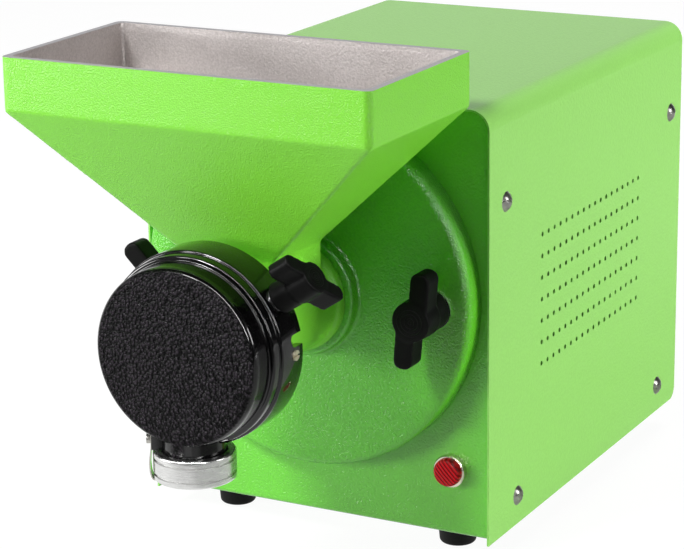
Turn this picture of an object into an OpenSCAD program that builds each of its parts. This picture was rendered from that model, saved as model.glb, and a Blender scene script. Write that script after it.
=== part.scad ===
// Bench nut butter grinder: a sheet housing with a geared motor, and a cast grinding unit on its front.
// Millimetres, +Z up, the grinding unit faces -Y. The origin is on the floor under the middle of the
// whole grinder. Modules draw in the housing's own frame: x = 0 is the middle plane, y = 0 the front
// edge of the cover and z = 0 its lower edge. in_housing() moves that frame into place.

/* [Cover] */
// Width of the cover
cover_w = 228; // [210:1:280]
// Depth of the cover, front edge to rear edge
cover_d = 303; // [300:1:380]
// Height of the cover
cover_h = 260; // [256:1:320]
// Thickness of the cover's sheet
cover_sheet = 1.2; // [0.8:0.1:2]
// Outer radius of the cover's two long bends
cover_bend_r = 12; // [4:1:20]
// Radius of the cover's rear lower corners
cover_corner_r = 8; // [2:1:14]
// Diameter of a vent hole
vent_hole_d = 3; // [2:0.1:4]
// Distance between vent holes along a row
vent_pitch = 9; // [6:0.5:14]
// Distance between the rows of vent holes
vent_row_pitch = 13.4; // [8:0.2:20]
// Length of a row of vent holes
vent_len = 153; // [60:1:180]
// Height of the vent field
vent_h = 80.4; // [30:0.2:110]
// Height of the vent field's middle above the cover's lower edge
vent_mid_h = 131; // [110:1:150]

/* [Chassis tray] */
// Thickness of the tray's sheet
tray_sheet = 2; // [1.5:0.1:3]
// How far the front and rear panels sit inside the cover's edges
panel_recess = 4; // [2:0.5:8]
// Height of the tray's underside above the cover's lower edge
base_lift = 2; // [1:0.5:6]
// Inner radius of the tray's bends
tray_bend_inside = 1; // [0.5:0.5:4]
// Width of the flanges that the cover is screwed to
tray_flange = 36; // [30:1:44]
// Clearance between the tray and the cover
tray_gap = 0.3; // [0.1:0.1:1]

/* [Cover screws] */
// Thread diameter
screw_d = 5; // [4:0.5:6]
// Head diameter
screw_head_d = 12; // [9:0.5:14]
// Head height
screw_head_h = 3; // [2:0.5:4]
// Length under the head
screw_len = 9; // [7:1:14]
// Height of the upper screws above the cover's lower edge
screw_upper_h = 203; // [150:1:220]
// Height of the lower screws above the cover's lower edge
screw_lower_h = 18; // [14:1:26]
// Distance of the upper front screws from the cover's front edge
screw_upper_front = 23; // [16:1:28]
// Distance of the upper rear screws from the cover's rear edge
screw_upper_rear = 19; // [16:1:28]
// Distance of the lower front screws from the cover's front edge
screw_lower_front = 41; // [20:1:60]
// Distance of the lower rear screws from the cover's rear edge
screw_lower_rear = 34; // [20:1:60]

/* [Feet] */
// How far the feet reach below the cover
foot_drop = 15.5; // [10:0.5:25]
// Diameter at the top
foot_top_d = 25; // [20:1:32]
// Diameter at the bottom
foot_bottom_d = 22; // [18:1:30]
// Distance of a foot's middle from the cover's side
foot_inset_x = 37; // [30:1:60]
// Distance of a foot's middle from the cover's front or rear edge
foot_inset_y = 36; // [30:1:60]

/* [Pilot lamp] */
// Distance of the lamp from the cover's side
lamp_inset = 26; // [24:1:40]
// Distance of the lamp below the shaft's axis
lamp_drop = 102.5; // [101:0.5:110]
// Diameter of the bezel
lamp_bezel_d = 20; // [18:0.5:24]
// Diameter of the lens
lamp_lens_d = 17; // [15:0.5:17.5]
// How far the lens stands out of the panel
lamp_reach = 8.5; // [7:0.5:12]
// Thread diameter of the lamp's body
lamp_body_d = 13; // [11:0.5:14]

/* [Mounting disc] */
// Distance of the shaft's axis below the cover's top
axis_drop = 115; // [112:1:122]
// Distance of the disc's rim from the cover's sides
disc_margin = 6.5; // [4:0.5:16]
// Thickness
disc_t = 17; // [15:0.5:24]
// Radius of the rounded rim
disc_round = 5; // [2:0.5:8]
// Diameter of the raised boss
boss_d = 74; // [70:1:90]
// Height of the raised boss
boss_h = 8; // [5:0.5:14]
// Diameter of the spigot that seats the barrel
spigot_d = 46; // [44:1:48]
// Diameter of the gearbox register behind the disc
register_d = 80; // [70:1:84]
// Height of the register in front of the panel
register_h = 4; // [2:0.5:6]

/* [Hopper and barrel] */
// Width of the hopper's rim
hopper_w = 228; // [180:1:260]
// Depth of the hopper's rim
hopper_d = 120; // [90:1:130]
// Height of the rim above the shaft's axis
hopper_rise = 153.5; // [140:0.5:180]
// Height of the upright band below the rim
band_h = 30; // [20:1:45]
// Wall of the hopper
hopper_wall = 4.5; // [3:0.5:7]
// Corner radius of the band
hopper_corner_r = 4; // [3:0.5:8]
// Distance from the rim's rear to the neck's rear
neck_setback = 19.5; // [10:0.5:30]
// Width of the neck
neck_w = 58; // [54:1:64]
// Depth of the neck
neck_d = 54.5; // [44:0.5:60]
// Height of the neck's top above the shaft's axis
neck_rise = 41.5; // [38:0.5:60]
// Diameter of the barrel
barrel_d = 62; // [58:1:68]
// Length of the barrel between its collar and its front flange
barrel_len = 84; // [78:1:100]
// Bore of the barrel
bore_d = 46; // [40:1:48]
// Height of the collar
collar_h = 8; // [6:0.5:12]
// Thickness of the front flange
flange_t = 17; // [14:0.5:20]

/* [Burrs] */
// Diameter of the burrs
burr_d = 82; // [74:1:86]
// Thickness of a burr
burr_t = 8; // [7:0.5:12]
// Gap between the burrs
burr_gap = 0.4; // [0.2:0.1:1]
// Number of grooves in a burr
burr_grooves = 18; // [12:1:24]
// Depth of a groove
groove_depth = 1.6; // [1:0.1:2.5]

/* [Feed auger] */
// Diameter of the core
auger_core_d = 18; // [17:0.5:20]
// Thickness of the flight, along the shaft
flight_t = 4; // [3:0.5:6]
// Pitch of the flight
flight_pitch = 32; // [24:1:44]
// Clearance between the flight and the barrel
flight_clear = 0.6; // [0.3:0.1:1.5]
// Diameter of the rear journal
journal_d = 20; // [18.5:0.5:22]

/* [Grinding head] */
// Diameter of the front drum
drum_d = 101; // [96:1:101]
// Radius of the drum's rounded front edge
drum_round = 4; // [2:0.5:9]
// Wall of the head
head_wall = 4.5; // [3.5:0.5:5]
// Diameter of the lip behind the drum
lip_d = 107; // [103:0.5:109]
// Length of the lip
lip_len = 6.5; // [4:0.5:9]
// Diameter of the clamping ring
ring_d = 110; // [109:0.5:116]
// Length of the clamping ring
ring_len = 22.5; // [20:0.5:24]
// Width of the notch in the ring's rear edge
notch_w = 7; // [5:0.5:9]
// Depth of the notch
notch_depth = 12; // [6:0.5:14]
// Angle of the notch above the horizontal
notch_angle = 7.9; // [7:0.1:16]
// Angle of the slotted stop screw above the horizontal
stop_screw_angle = -0.5; // [-14:0.5:0]

/* [Outlet] */
// Outer diameter of the spout
spout_d = 36; // [30:1:40]
// Bore of the spout
spout_bore = 28; // [20:1:30]
// Distance of the outlet ring below the clamping ring
outlet_clear = 1.5; // [0.5:0.5:8]
// Outer diameter of the outlet ring
outlet_d = 46; // [42:1:52]
// Height of the outlet ring
outlet_h = 16; // [12:0.5:20]
// Width of the spring strip
clip_w = 8; // [5:0.5:10]
// Thickness of the spring strip
clip_t = 0.8; // [0.5:0.1:1.2]

/* [Wing knobs] */
// Distance of the disc's knobs from the disc's rim
disc_knob_inset = 22.7; // [20:0.1:30]
// Height of a disc knob
disc_knob_h = 28; // [24:0.5:32]
// Length of a disc knob's wing
disc_wing_len = 58; // [50:1:66]
// Hub diameter of a disc knob
disc_hub_d = 24; // [22:1:26]
// Height of the head's knob
head_knob_h = 27; // [22:0.5:30]
// Length of the head's knob's wing
head_wing_len = 44; // [38:1:50]
// Hub diameter of the head's knob
head_hub_d = 19; // [18:1:22]
// Thread diameter of the wing screws
stud_d = 8; // [6:0.5:8]
// Thickness of the washers under the knobs
washer_t = 1.6; // [1:0.1:2.5]
// Angle of the head's wing screw above the horizontal
head_knob_angle = 33.5; // [28:0.5:38]
// Turn of the right disc knob's wing from upright
right_knob_turn = -5; // [-45:5:45]
// Turn of the left disc knob's wing from upright
left_knob_turn = 45; // [-90:5:90]
// Turn of the head knob's wing from the axial direction
head_knob_turn = 141; // [0:1:180]

/* [Gears] */
// Module of the gears
gear_module = 1.5; // [1.25:0.05:1.5]
// Teeth of the pinions
pinion_teeth = 15; // [14:1:16]
// Teeth of the wheels
wheel_teeth = 45; // [42:1:46]
// Play between the flanks, on the pitch circle
backlash = 0.24; // [0.16:0.02:0.4]
// Width of the layshaft's wheel
fast_width = 12; // [8:0.5:14]
// Width of the output wheel
slow_width = 16; // [12:0.5:20]
// Diameter of the output shaft
output_d = 24; // [22:0.5:24]
// Diameter of the layshaft
layshaft_d = 14; // [12:0.5:15]

/* [Motor] */
// Diameter of the motor's shell
motor_d = 140; // [130:1:150]
// Wall of the motor's shell
motor_wall = 6; // [4:0.5:8]
// Space between the motor's fan cowl and the cover's rear edge
rear_space = 36.5; // [34:0.5:60]
// Length of the laminated core
core_len = 80; // [60:1:84]
// Diameter of the rotor
rotor_d = 76; // [66:1:82]
// Diameter of the motor's shaft
motor_shaft_d = 15; // [13:0.5:15]

/* [Rear panel] */
// Distance of the switch and the power inlet from the cover's sides
rear_fit_inset = 54; // [48:1:62]
// Height of the switch and the inlet above the cover's lower edge
rear_fit_h = 56; // [46:1:62]

/* [Fits] */
// Radial clearance of a turning shaft in its bush
run_gap = 0.03; // [0.02:0.01:0.08]
// Clearance of a removable piece on its seat
seat_gap = 0.3; // [0.2:0.05:0.5]

/* [Hidden] */
$fn = 96;

// Colours
leaf_green = [0.55, 0.85, 0.40];
bright_green = [0.50, 0.86, 0.30];
black_paint = [0.05, 0.05, 0.05];
black_plastic = [0.10, 0.10, 0.11];
rubber_black = [0.07, 0.07, 0.07];
steel = [0.72, 0.73, 0.75];
dark_steel = [0.45, 0.46, 0.48];
aluminium = [0.82, 0.82, 0.83];
bronze = [0.72, 0.55, 0.30];
copper = [0.72, 0.40, 0.22];
lamp_red = [0.75, 0.05, 0.08];

eps = 0.01;
over = 1;

// The cover's side, the shaft's axis, and what keeps its place by them
side_x = cover_w / 2;
axis_h = cover_h - axis_drop;
disc_r = min(side_x - disc_margin, axis_drop - disc_margin - 1);
disc_knob_x = disc_r - disc_knob_inset;
lamp_x = side_x - lamp_inset;
lamp_h = axis_h - lamp_drop;
switch_x = side_x - rear_fit_inset;
inlet_x = side_x - rear_fit_inset;
tray_bend_r = tray_sheet + tray_bend_inside;

// Places along Y, from the panel forwards
panel_y = panel_recess;
panel_back = panel_y + tray_sheet;
rear_y = cover_d - panel_recess;
disc_face = panel_y - disc_t;
boss_face = disc_face - boss_h;
collar_face = boss_face - collar_h;
flange_back = collar_face - barrel_len;
flange_front = flange_back - flange_t;
fixed_burr_front = flange_front - burr_t;
turning_burr_back = fixed_burr_front - burr_gap;
turning_burr_front = turning_burr_back - burr_t;
burr_nut_h = 5;
nut_front = turning_burr_front - burr_nut_h;
head_inside = nut_front - 0.6;
head_face = head_inside - head_wall;
head_back = flange_back + 1;
ring_front = head_back - ring_len;
lip_front = ring_front - lip_len;

// Grinding head radii
ring_r = ring_d / 2;
drum_r = drum_d / 2;
ring_bore_r = ring_r - head_wall - 0.5;
flange_r = ring_bore_r - seat_gap;
drum_bore_r = drum_r - head_wall;

// Seat of the barrel in the disc, and the drive through it
register_front = panel_y - register_h;
recess_floor = register_front - 1;
spigot_back = recess_floor - 0.5;
drive_y = spigot_back - 7.5;
tongue_gap = 0.5;
tongue_len = 8;
tongue_t = 7;
bush_wall = 4;
bush_r = journal_d / 2 + bush_wall;
bore_back = collar_face - 4;
bush_front = bore_back + 2;
bush_back = drive_y - 4;
barrel_screw_r = spigot_d / 2 + 6.5;
barrel_screw_d = 5;
collar_d = 2 * barrel_screw_r + 7;
bore_r = bore_d / 2;

// Hopper heights and places
rim_z = axis_h + hopper_rise;
band_z = rim_z - band_h;
neck_z = axis_h + neck_rise;
rim_back = disc_face - 10;
rim_front = rim_back - hopper_d;
neck_back = rim_back - neck_setback;
neck_front = neck_back - neck_d;

// Outlet
spout_r = spout_d / 2;
outlet_y = head_face + spout_r + 0.5;
outlet_top = axis_h - ring_r - outlet_clear;
outlet_bottom = outlet_top - outlet_h;
spout_end = outlet_bottom + 2;
outlet_bore_r = spout_r + 0.4;
outlet_r = outlet_d / 2;
clip_angle = 208;
clip_x = outlet_r + 0.4;
clip_foot_w = clip_w + 2;

// Gear train, with the layshaft straight below the main axis
pressure = 20;
addendum = 0.9 * gear_module;
dedendum = 1.2 * gear_module;
centres = gear_module * (pinion_teeth + wheel_teeth) / 2;
lay_z = axis_h - centres;
wheel_tip_r = gear_module * wheel_teeth / 2 + addendum;
plate_back = panel_back + 12;
hub_back = plate_back + 9;
slow_y = hub_back + 1.5;
output_end = slow_y + slow_width + 2;
fast_y = output_end + 14;
case_wall = 5;
chamber_r = wheel_tip_r + 3.5;
case_r = chamber_r + case_wall;
bearing_r = 17.5;
bearing_w = 11;
case_floor = fast_y + fast_width + 4;
case_back = case_floor + bearing_w + 2;
lay_bush_r = layshaft_d / 2 + 3.5;
output_bush_r = output_d / 2 + 4;

// Motor, bolted to the back of the gearbox on the same axis
motor_r = motor_d / 2;
rotor_r = rotor_d / 2;
fan_w = 12;
fan_r = motor_r - 10;
shield_t = 7;
shell_y = case_back;
cowl_end = cover_d - rear_space;
fan_y = cowl_end - 5 - fan_w;
shield_end = fan_y - 3;
shell_end = shield_end - shield_t;
motor_len = shell_end - shell_y;
core_y = shell_y + (motor_len - core_len) / 2;

// Cover screws: places along Y and heights
cover_screw_places = [
    [screw_upper_front, screw_upper_h], [cover_d - screw_upper_rear, screw_upper_h],
    [cover_d - screw_lower_rear, screw_lower_h], [screw_lower_front, screw_lower_h]];
flange_x = side_x - cover_sheet - tray_gap;
tray_top = cover_h - cover_sheet - tray_gap;
base_z = base_lift + tray_sheet;

// The whole grinder's reach, which sets the origin
front_reach = outlet_r - outlet_y;
housing_y = (front_reach - cover_d) / 2;

// Common shapes

module in_housing() {
    translate([0, housing_y, foot_drop]) children();
}

// Solid cylinder along Y, from y0 to y1
module rod(r, y0, y1, x = 0, z = axis_h) {
    translate([x, y0, z]) rotate([-90, 0, 0]) cylinder(r = r, h = y1 - y0);
}

// Tube along Y
module tube(r_out, r_in, y0, y1, x = 0, z = axis_h) {
    difference() {
        rod(r_out, y0, y1, x, z);
        rod(r_in, y0 - over, y1 + over, x, z);
    }
}

// A shape turned about the main axis: the outline's x is the radius and its y runs along +Y
module turned(y = 0, x = 0, z = axis_h) {
    translate([x, y, z]) rotate([-90, 0, 0]) rotate_extrude() children();
}

// An outline in Y and Z, extruded along X across the middle plane
module across(w, x = 0) {
    translate([x - w / 2, 0, 0]) rotate([90, 0, 90]) linear_extrude(w) children();
}

// An outline in X and Z, extruded along Y from y0 to y1
module along(y0, y1) {
    translate([0, y1, 0]) rotate([90, 0, 0]) linear_extrude(y1 - y0) children();
}

// Puts children, drawn with their axis along +Z, on a radius of the main axis at a place along Y
module radial(y, angle) {
    translate([0, y, axis_h]) rotate([0, 90 - angle, 0]) children();
}

module mirrored() {
    children();
    mirror([1, 0, 0]) children();
}

module rounded_square(w, d, r) {
    translate([-w / 2 + r, -d / 2]) square([w - 2 * r, d]);
    translate([-w / 2, -d / 2 + r]) square([w, d - 2 * r]);
    for (x = [-1, 1], y = [-1, 1]) translate([x * (w / 2 - r), y * (d / 2 - r)]) circle(r);
}

// Hexagon nut or bolt head outline, by its width across flats
module hexagon(flats) {
    circle(d = flats / cos(30), $fn = 6);
}

// Cheese-head screw along +Z from the seat of its head, head below
module cap_screw(d, len, head_d, head_h) {
    translate([0, 0, -head_h]) difference() {
        cylinder(d = head_d, h = head_h);
        translate([0, 0, -over]) linear_extrude(head_h * 0.5 + over) hexagon(head_d * 0.5);
    }
    translate([0, 0, -eps]) cylinder(d = d, h = len + eps);
}

// Housing

module tray_outline(inset) {
    w = rear_y - panel_y - 2 * inset;
    r = tray_bend_r - inset;
    translate([panel_y + inset, base_lift + inset]) union() {
        translate([0, r]) square([w, tray_top - base_lift - r - inset]);
        translate([r, 0]) square([w - 2 * r, tray_top - base_lift - inset]);
        for (y = [r, w - r]) translate([y, r]) circle(r);
    }
}

module panel_bolt_places() {
    for (a = [45, 135, 225, 315])
        translate([panel_bolt_r * cos(a), 0, axis_h + panel_bolt_r * sin(a)]) children();
}
panel_bolt_r = register_d / 2 + 8;

module foot_places() {
    for (x = [foot_inset_x - side_x, side_x - foot_inset_x], y = [foot_inset_y, cover_d - foot_inset_y])
        translate([x, y, 0]) children();
}

module cradle_bolt_places() {
    for (x = [-cradle_bolt_x, cradle_bolt_x], y = [cradle_y + 10, cradle_y + cradle_len - 10])
        translate([x, y, 0]) children();
}
cradle_y = core_y + 4;
cradle_len = core_len - 8;
cradle_edge = 9;
cradle_bolt_x = motor_r * 0.8 + cradle_edge;

// The bent sheet before its holes: base, front and rear panels, and the flanges along their sides
module tray_sheet_metal() {
    upright = tray_top - base_lift - tray_bend_r;
    across(2 * flange_x) difference() {
        tray_outline(0);
        tray_outline(tray_sheet);
        translate([panel_y + tray_sheet, tray_top - tray_sheet - eps])
            square([rear_y - panel_y - 2 * tray_sheet, tray_sheet + over]);
    }
    for (x = [-flange_x, flange_x - tray_sheet]) {
        for (y = [panel_y, rear_y - tray_flange])
            translate([x, y, base_lift + tray_bend_r]) cube([tray_sheet, tray_flange, upright]);
        translate([x, panel_y + tray_bend_r, base_lift])
            cube([tray_sheet, rear_y - panel_y - 2 * tray_bend_r, tray_flange - base_lift]);
    }
}

module chassis_tray() color(leaf_green) in_housing() difference() {
    intersection() {
        along(panel_y - over, rear_y + over) cover_outline(cover_sheet + tray_gap);
        tray_sheet_metal();
    }
    rod(register_d / 2 + seat_gap, panel_y - over, panel_back + over);
    panel_bolt_places() rotate([-90, 0, 0]) cylinder(d = 6.4, h = panel_back + over);
    for (x = [-disc_knob_x, disc_knob_x]) rod(stud_d / 2 + seat_gap, panel_y - over, panel_back + over, x);
    rod(lamp_body_d / 2 + 0.1, panel_y - over, panel_back + over, lamp_x, lamp_h);
    for (p = cover_screw_places)
        translate([-side_x, p[0], p[1]]) rotate([0, 90, 0]) cylinder(d = screw_d + 0.1, h = cover_w);
    foot_places() translate([0, 0, base_lift - over]) cylinder(d = 5.4, h = tray_sheet + 2 * over);
    cradle_bolt_places() translate([0, 0, base_lift - over]) cylinder(d = 6.4, h = tray_sheet + 2 * over);
    translate([-switch_x, rear_y - tray_sheet - over, rear_fit_h])
        along(0, tray_sheet + 2 * over) square([switch_w + 0.2, switch_h + 0.2], center = true);
    translate([inlet_x, rear_y - tray_sheet - over, rear_fit_h])
        along(0, tray_sheet + 2 * over) square([inlet_w + 0.2, inlet_h + 0.2], center = true);
}

module cover_outline(inset) {
    r = cover_bend_r - inset;
    translate([-side_x + inset, -inset]) union() {
        w = cover_w - 2 * inset;
        square([w, cover_h - r]);
        translate([r, 0]) square([w - 2 * r, cover_h]);
        for (x = [r, w - r]) translate([x, cover_h - r]) circle(r);
    }
}

module top_cover() color(leaf_green) in_housing() difference() {
    intersection() {
        difference() {
            along(0, cover_d) cover_outline(0);
            along(-over, cover_d + over) cover_outline(cover_sheet);
        }
        across(cover_w + 2 * over) union() {
            square([cover_d - cover_corner_r, cover_h + over]);
            translate([0, cover_corner_r]) square([cover_d, cover_h + over - cover_corner_r]);
            translate([cover_d - cover_corner_r, cover_corner_r]) circle(cover_corner_r);
        }
    }
    for (p = cover_screw_places)
        translate([-side_x - over, p[0], p[1]]) rotate([0, 90, 0])
            cylinder(d = screw_d + 0.4, h = cover_w + 2 * over);
    columns = floor(vent_len / vent_pitch);
    rows = floor(vent_h / vent_row_pitch);
    for (i = [0 : columns], j = [0 : rows]) {
        y = cover_d / 2 + (i - columns / 2) * vent_pitch;
        z = vent_mid_h + (j - rows / 2) * vent_row_pitch;
        translate([-side_x - over, y, z]) rotate([0, 90, 0]) cylinder(d = vent_hole_d, h = cover_w + 2 * over);
    }
}

module cover_screws() color(steel) in_housing() mirrored() for (p = cover_screw_places)
    translate([side_x, p[0], p[1]]) rotate([0, 90, 0]) rotate([0, 0, slot_turn]) {
        dome_r = (pow(screw_head_d / 2, 2) + pow(screw_head_h, 2)) / (2 * screw_head_h);
        difference() {
            intersection() {
                translate([0, 0, screw_head_h - dome_r]) sphere(dome_r);
                cylinder(d = screw_head_d + over, h = screw_head_h + over);
            }
            translate([-screw_head_d, -0.6, screw_head_h - 1.2]) cube([2 * screw_head_d, 1.2, 2]);
        }
        translate([0, 0, -screw_len]) cylinder(d = screw_d, h = screw_len + eps);
    }

slot_turn = 65;

module rubber_feet() color(rubber_black) in_housing() foot_places() difference() {
    translate([0, 0, -foot_drop])
        cylinder(d1 = foot_bottom_d, d2 = foot_top_d, h = foot_drop + base_lift);
    translate([0, 0, -foot_drop - over]) cylinder(d = 11, h = foot_drop - 2 + over);
    translate([0, 0, -3]) cylinder(d = 5.4, h = base_lift + 4);
}

module foot_screws() color(steel) in_housing() foot_places() {
    translate([0, 0, -2]) cap_screw(5, base_z + 8, 9, 4);
    translate([0, 0, base_z]) difference() {
        linear_extrude(4.5) hexagon(8);
        translate([0, 0, -over]) cylinder(d = 5.04, h = 4.5 + 2 * over);
    }
}

// Pilot lamp

module lamp_bezel() color(steel) in_housing() turned(panel_y, lamp_x, lamp_h) difference() {
    translate([0, -lamp_bezel_h]) square([lamp_bezel_d / 2, lamp_bezel_h]);
    translate([0, -lamp_bezel_h - over]) square([lamp_lens_d / 2 + 0.05, lamp_bezel_h - 1 + over]);
    translate([0, -lamp_bezel_h]) square([lamp_body_d / 2 + 0.05, lamp_bezel_h + over]);
    translate([lamp_bezel_d / 2, -lamp_bezel_h]) rotate(45) square(1, center = true);
}
lamp_bezel_h = 4.5;

module lamp_lens() color(lamp_red) in_housing() turned(panel_y - 1.05, lamp_x, lamp_h) {
    dome = 2;
    reach = lamp_reach - 1.05;
    square_h = reach - dome;
    translate([0, -square_h]) square([lamp_lens_d / 2, square_h]);
    translate([0, -reach]) square([lamp_lens_d / 2 - dome, reach]);
    intersection() {
        translate([lamp_lens_d / 2 - dome, -square_h]) circle(dome);
        translate([0, -reach]) square([lamp_lens_d, reach]);
    }
}

module lamp_body() color(black_plastic) in_housing() {
    rod(lamp_body_d / 2, panel_y - 1, panel_back + 26, lamp_x, lamp_h);
    for (x = [-2.5, 2.5])
        translate([lamp_x + x - 0.4, panel_back + 25.9, lamp_h - 2]) cube([0.8, 8, 4]);
}

module lamp_nut() color(steel) in_housing() difference() {
    translate([lamp_x, panel_back, lamp_h]) rotate([-90, 0, 0]) linear_extrude(4) hexagon(18);
    rod(lamp_body_d / 2 + 0.02, panel_back - over, panel_back + 6, lamp_x, lamp_h);
}

module panel_nuts() color(steel) in_housing() for (x = [-disc_knob_x, disc_knob_x])
    translate([x, panel_back, axis_h]) rotate([-90, 0, 0]) difference() {
        linear_extrude(panel_nut_h) hexagon(13);
        translate([0, 0, -over]) cylinder(r = stud_d / 2 + run_gap, h = panel_nut_h + 2 * over);
    }
panel_nut_h = 6;

// Grinding unit: disc, hopper with barrel

module disc_outline() {
    h = disc_t - disc_round;
    translate([0, -h]) square([disc_r, h]);
    translate([0, -disc_t]) square([disc_r - disc_round, disc_t]);
    translate([disc_r - disc_round, -h]) circle(disc_round);
}

module mounting_disc() color(bright_green) in_housing() difference() {
    union() {
        turned(panel_y) intersection() {
            disc_outline();
            translate([0, -disc_t]) square([disc_r + over, disc_t]);
        }
        turned(disc_face) {
            translate([0, -boss_h]) square([boss_d / 2 - 2, boss_h + 1]);
            translate([0, -boss_h + 2]) square([boss_d / 2, boss_h - 1]);
            translate([boss_d / 2 - 2, -boss_h + 2]) circle(2);
        }
    }
    rod(spigot_d / 2 + 0.02, boss_face - over, panel_y + over);
    rod(register_d / 2 + seat_gap, recess_floor, panel_y + over);
    for (x = [-disc_knob_x, disc_knob_x]) rod(stud_d / 2 + seat_gap, disc_face - over, panel_y + over, x);
    barrel_screw_places() {
        translate([0, 0, -over]) cylinder(d = barrel_screw_d + 0.3, h = disc_t + boss_h + 2 * over);
        translate([0, 0, -over]) cylinder(d = 9, h = 6 + over);
    }
    panel_bolt_places() translate([0, panel_y + over, 0]) rotate([90, 0, 0]) cylinder(d = 13, h = 5 + over);
}

// Places of the screws that hold the barrel, with +Z pointing forwards from the recess's floor
module barrel_screw_places() {
    for (a = [0, 90, 180, 270])
        translate([barrel_screw_r * cos(a), recess_floor, axis_h + barrel_screw_r * sin(a)])
            rotate([90, 0, 0]) children();
}

// Four-sided funnel between two heights, as two crossing prisms
module funnel(w0, f0, b0, z0, w1, f1, b1, z1) {
    intersection() {
        along(min(f0, f1) - over, max(b0, b1) + over)
            polygon([[-w0 / 2, z0], [w0 / 2, z0], [w1 / 2, z1], [-w1 / 2, z1]]);
        across(max(w0, w1) + 2 * over) polygon([[f0, z0], [b0, z0], [b1, z1], [f1, z1]]);
    }
}

module rim_prism(inset, z0, z1, r) {
    translate([0, (rim_front + rim_back) / 2, z0]) linear_extrude(z1 - z0)
        rounded_square(hopper_w - 2 * inset, hopper_d - 2 * inset, r);
}

module hopper_casting() color(bright_green) in_housing() difference() {
    union() {
        rim_prism(0, band_z, rim_z, hopper_corner_r);
        intersection() {
            funnel(neck_w, neck_front, neck_back, neck_z, hopper_w, rim_front, rim_back, band_z);
            rim_prism(0, neck_z - over, band_z + over, hopper_corner_r);
        }
        translate([-neck_w / 2, neck_front, axis_h]) cube([neck_w, neck_d, neck_rise]);
        rod(barrel_d / 2, flange_back - over, collar_face + over);
        rod(spigot_d / 2, boss_face - over, spigot_back);
        turned(boss_face) {
            translate([0, -collar_h]) square([collar_d / 2 - 2, collar_h]);
            translate([0, -collar_h + 2]) square([collar_d / 2, collar_h - 2]);
            translate([collar_d / 2 - 2, -collar_h + 2]) circle(2);
        }
        rod(flange_r, flange_front, flange_back);
    }
    rim_prism(hopper_wall, band_z, rim_z + over, hopper_corner_r - 1.5);
    intersection() {
        funnel(bore_d, neck_front + hopper_wall, neck_back - hopper_wall, neck_z,
            hopper_w - 2 * hopper_wall, rim_front + hopper_wall, rim_back - hopper_wall, band_z);
        rim_prism(hopper_wall, neck_z - over, band_z + over, hopper_corner_r - 1.5);
    }
    translate([-bore_r, neck_front + hopper_wall, axis_h])
        cube([bore_d, neck_d - 2 * hopper_wall, neck_rise + eps]);
    rod(bore_r, flange_front - over, bore_back);
    rod(journal_d / 2 + 0.5, bore_back - over, bush_front + over);
    rod(bush_r, bush_front, spigot_back + over);
    barrel_screw_places() cylinder(d = barrel_screw_d, h = recess_floor - collar_face - 2);
    burr_screw_places() cylinder(d = burr_screw_d, h = burr_t + 10);
}

module barrel_screws() color(steel) in_housing() barrel_screw_places()
    translate([0, 0, 6]) cap_screw(barrel_screw_d, recess_floor - 6 - collar_face - 3, 8.5, 5);

module barrel_bush() color(bronze) in_housing() tube(bush_r, journal_d / 2 + run_gap, bush_front, bush_back);

// Places of the fixed burr's screws, with +Z pointing backwards from its front face
module burr_screw_places() {
    for (a = [30, 150, 270])
        translate([burr_screw_r * cos(a), fixed_burr_front, axis_h + burr_screw_r * sin(a)])
            rotate([-90, 0, 0]) children();
}
burr_screw_r = (bore_r + burr_d / 2) / 2;
burr_screw_d = 5;

module cut_grooves(y) {
    for (i = [0 : burr_grooves - 1])
        translate([0, y, axis_h]) rotate([0, i * 360 / burr_grooves, 0]) rotate([0, 12, 0])
            translate([bore_r - 4, -groove_depth, -1.2]) cube([burr_d / 2 - bore_r + 8, 2 * groove_depth, 2.4]);
}

module fixed_burr() color(dark_steel) in_housing() difference() {
    tube(burr_d / 2, bore_r, fixed_burr_front, flange_front);
    cut_grooves(fixed_burr_front);
    burr_screw_places() {
        translate([0, 0, -over]) cylinder(d = burr_screw_d + 0.3, h = burr_t + 2 * over);
        translate([0, 0, -over]) cylinder(d = 9.5, h = 5 + over);
    }
}

module burr_screws() color(steel) in_housing() burr_screw_places()
    translate([0, 0, 5]) cap_screw(burr_screw_d, burr_t + 2, 9, 3);

// Flats that carry the drive from the auger to the turning burr
module flatted(d, flats, y0, y1) {
    intersection() {
        rod(d / 2, y0, y1);
        translate([-flats / 2, y0, axis_h - d]) cube([flats, y1 - y0, 2 * d]);
    }
}
burr_seat_d = 14;
burr_flats = 11;
burr_thread_d = 10;

module auger_shaft() color(steel) in_housing() {
    rod(journal_d / 2, bore_back - 3, drive_y - tongue_gap);
    translate([-journal_d / 2 + 1, drive_y - tongue_gap - eps, axis_h - tongue_t / 2])
        cube([journal_d - 2, tongue_len + eps, tongue_t]);
    rod(auger_core_d / 2, turning_burr_back, bore_back - 3 + eps);
    flatted(burr_seat_d, burr_flats, turning_burr_front, turning_burr_back + eps);
    rod(burr_thread_d / 2, nut_front, turning_burr_front + eps);
}

module auger_flight() color(steel) in_housing() {
    y0 = flange_front + 2;
    len = bore_back - 4 - y0;
    arc = 360 * flight_t / flight_pitch;
    r0 = auger_core_d / 2 + 0.03;
    r1 = bore_r - flight_clear;
    turns = len / flight_pitch;
    translate([0, y0 + len, axis_h]) rotate([90, 0, 0])
        linear_extrude(len, twist = -360 * turns, slices = round(24 * turns), $fn = 12)
            polygon([for (i = [0 : 6]) r1 * [cos(arc * i / 6), sin(arc * i / 6)],
                for (i = [6 : -1 : 0]) r0 * [cos(arc * i / 6), sin(arc * i / 6)]]);
}

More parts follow.
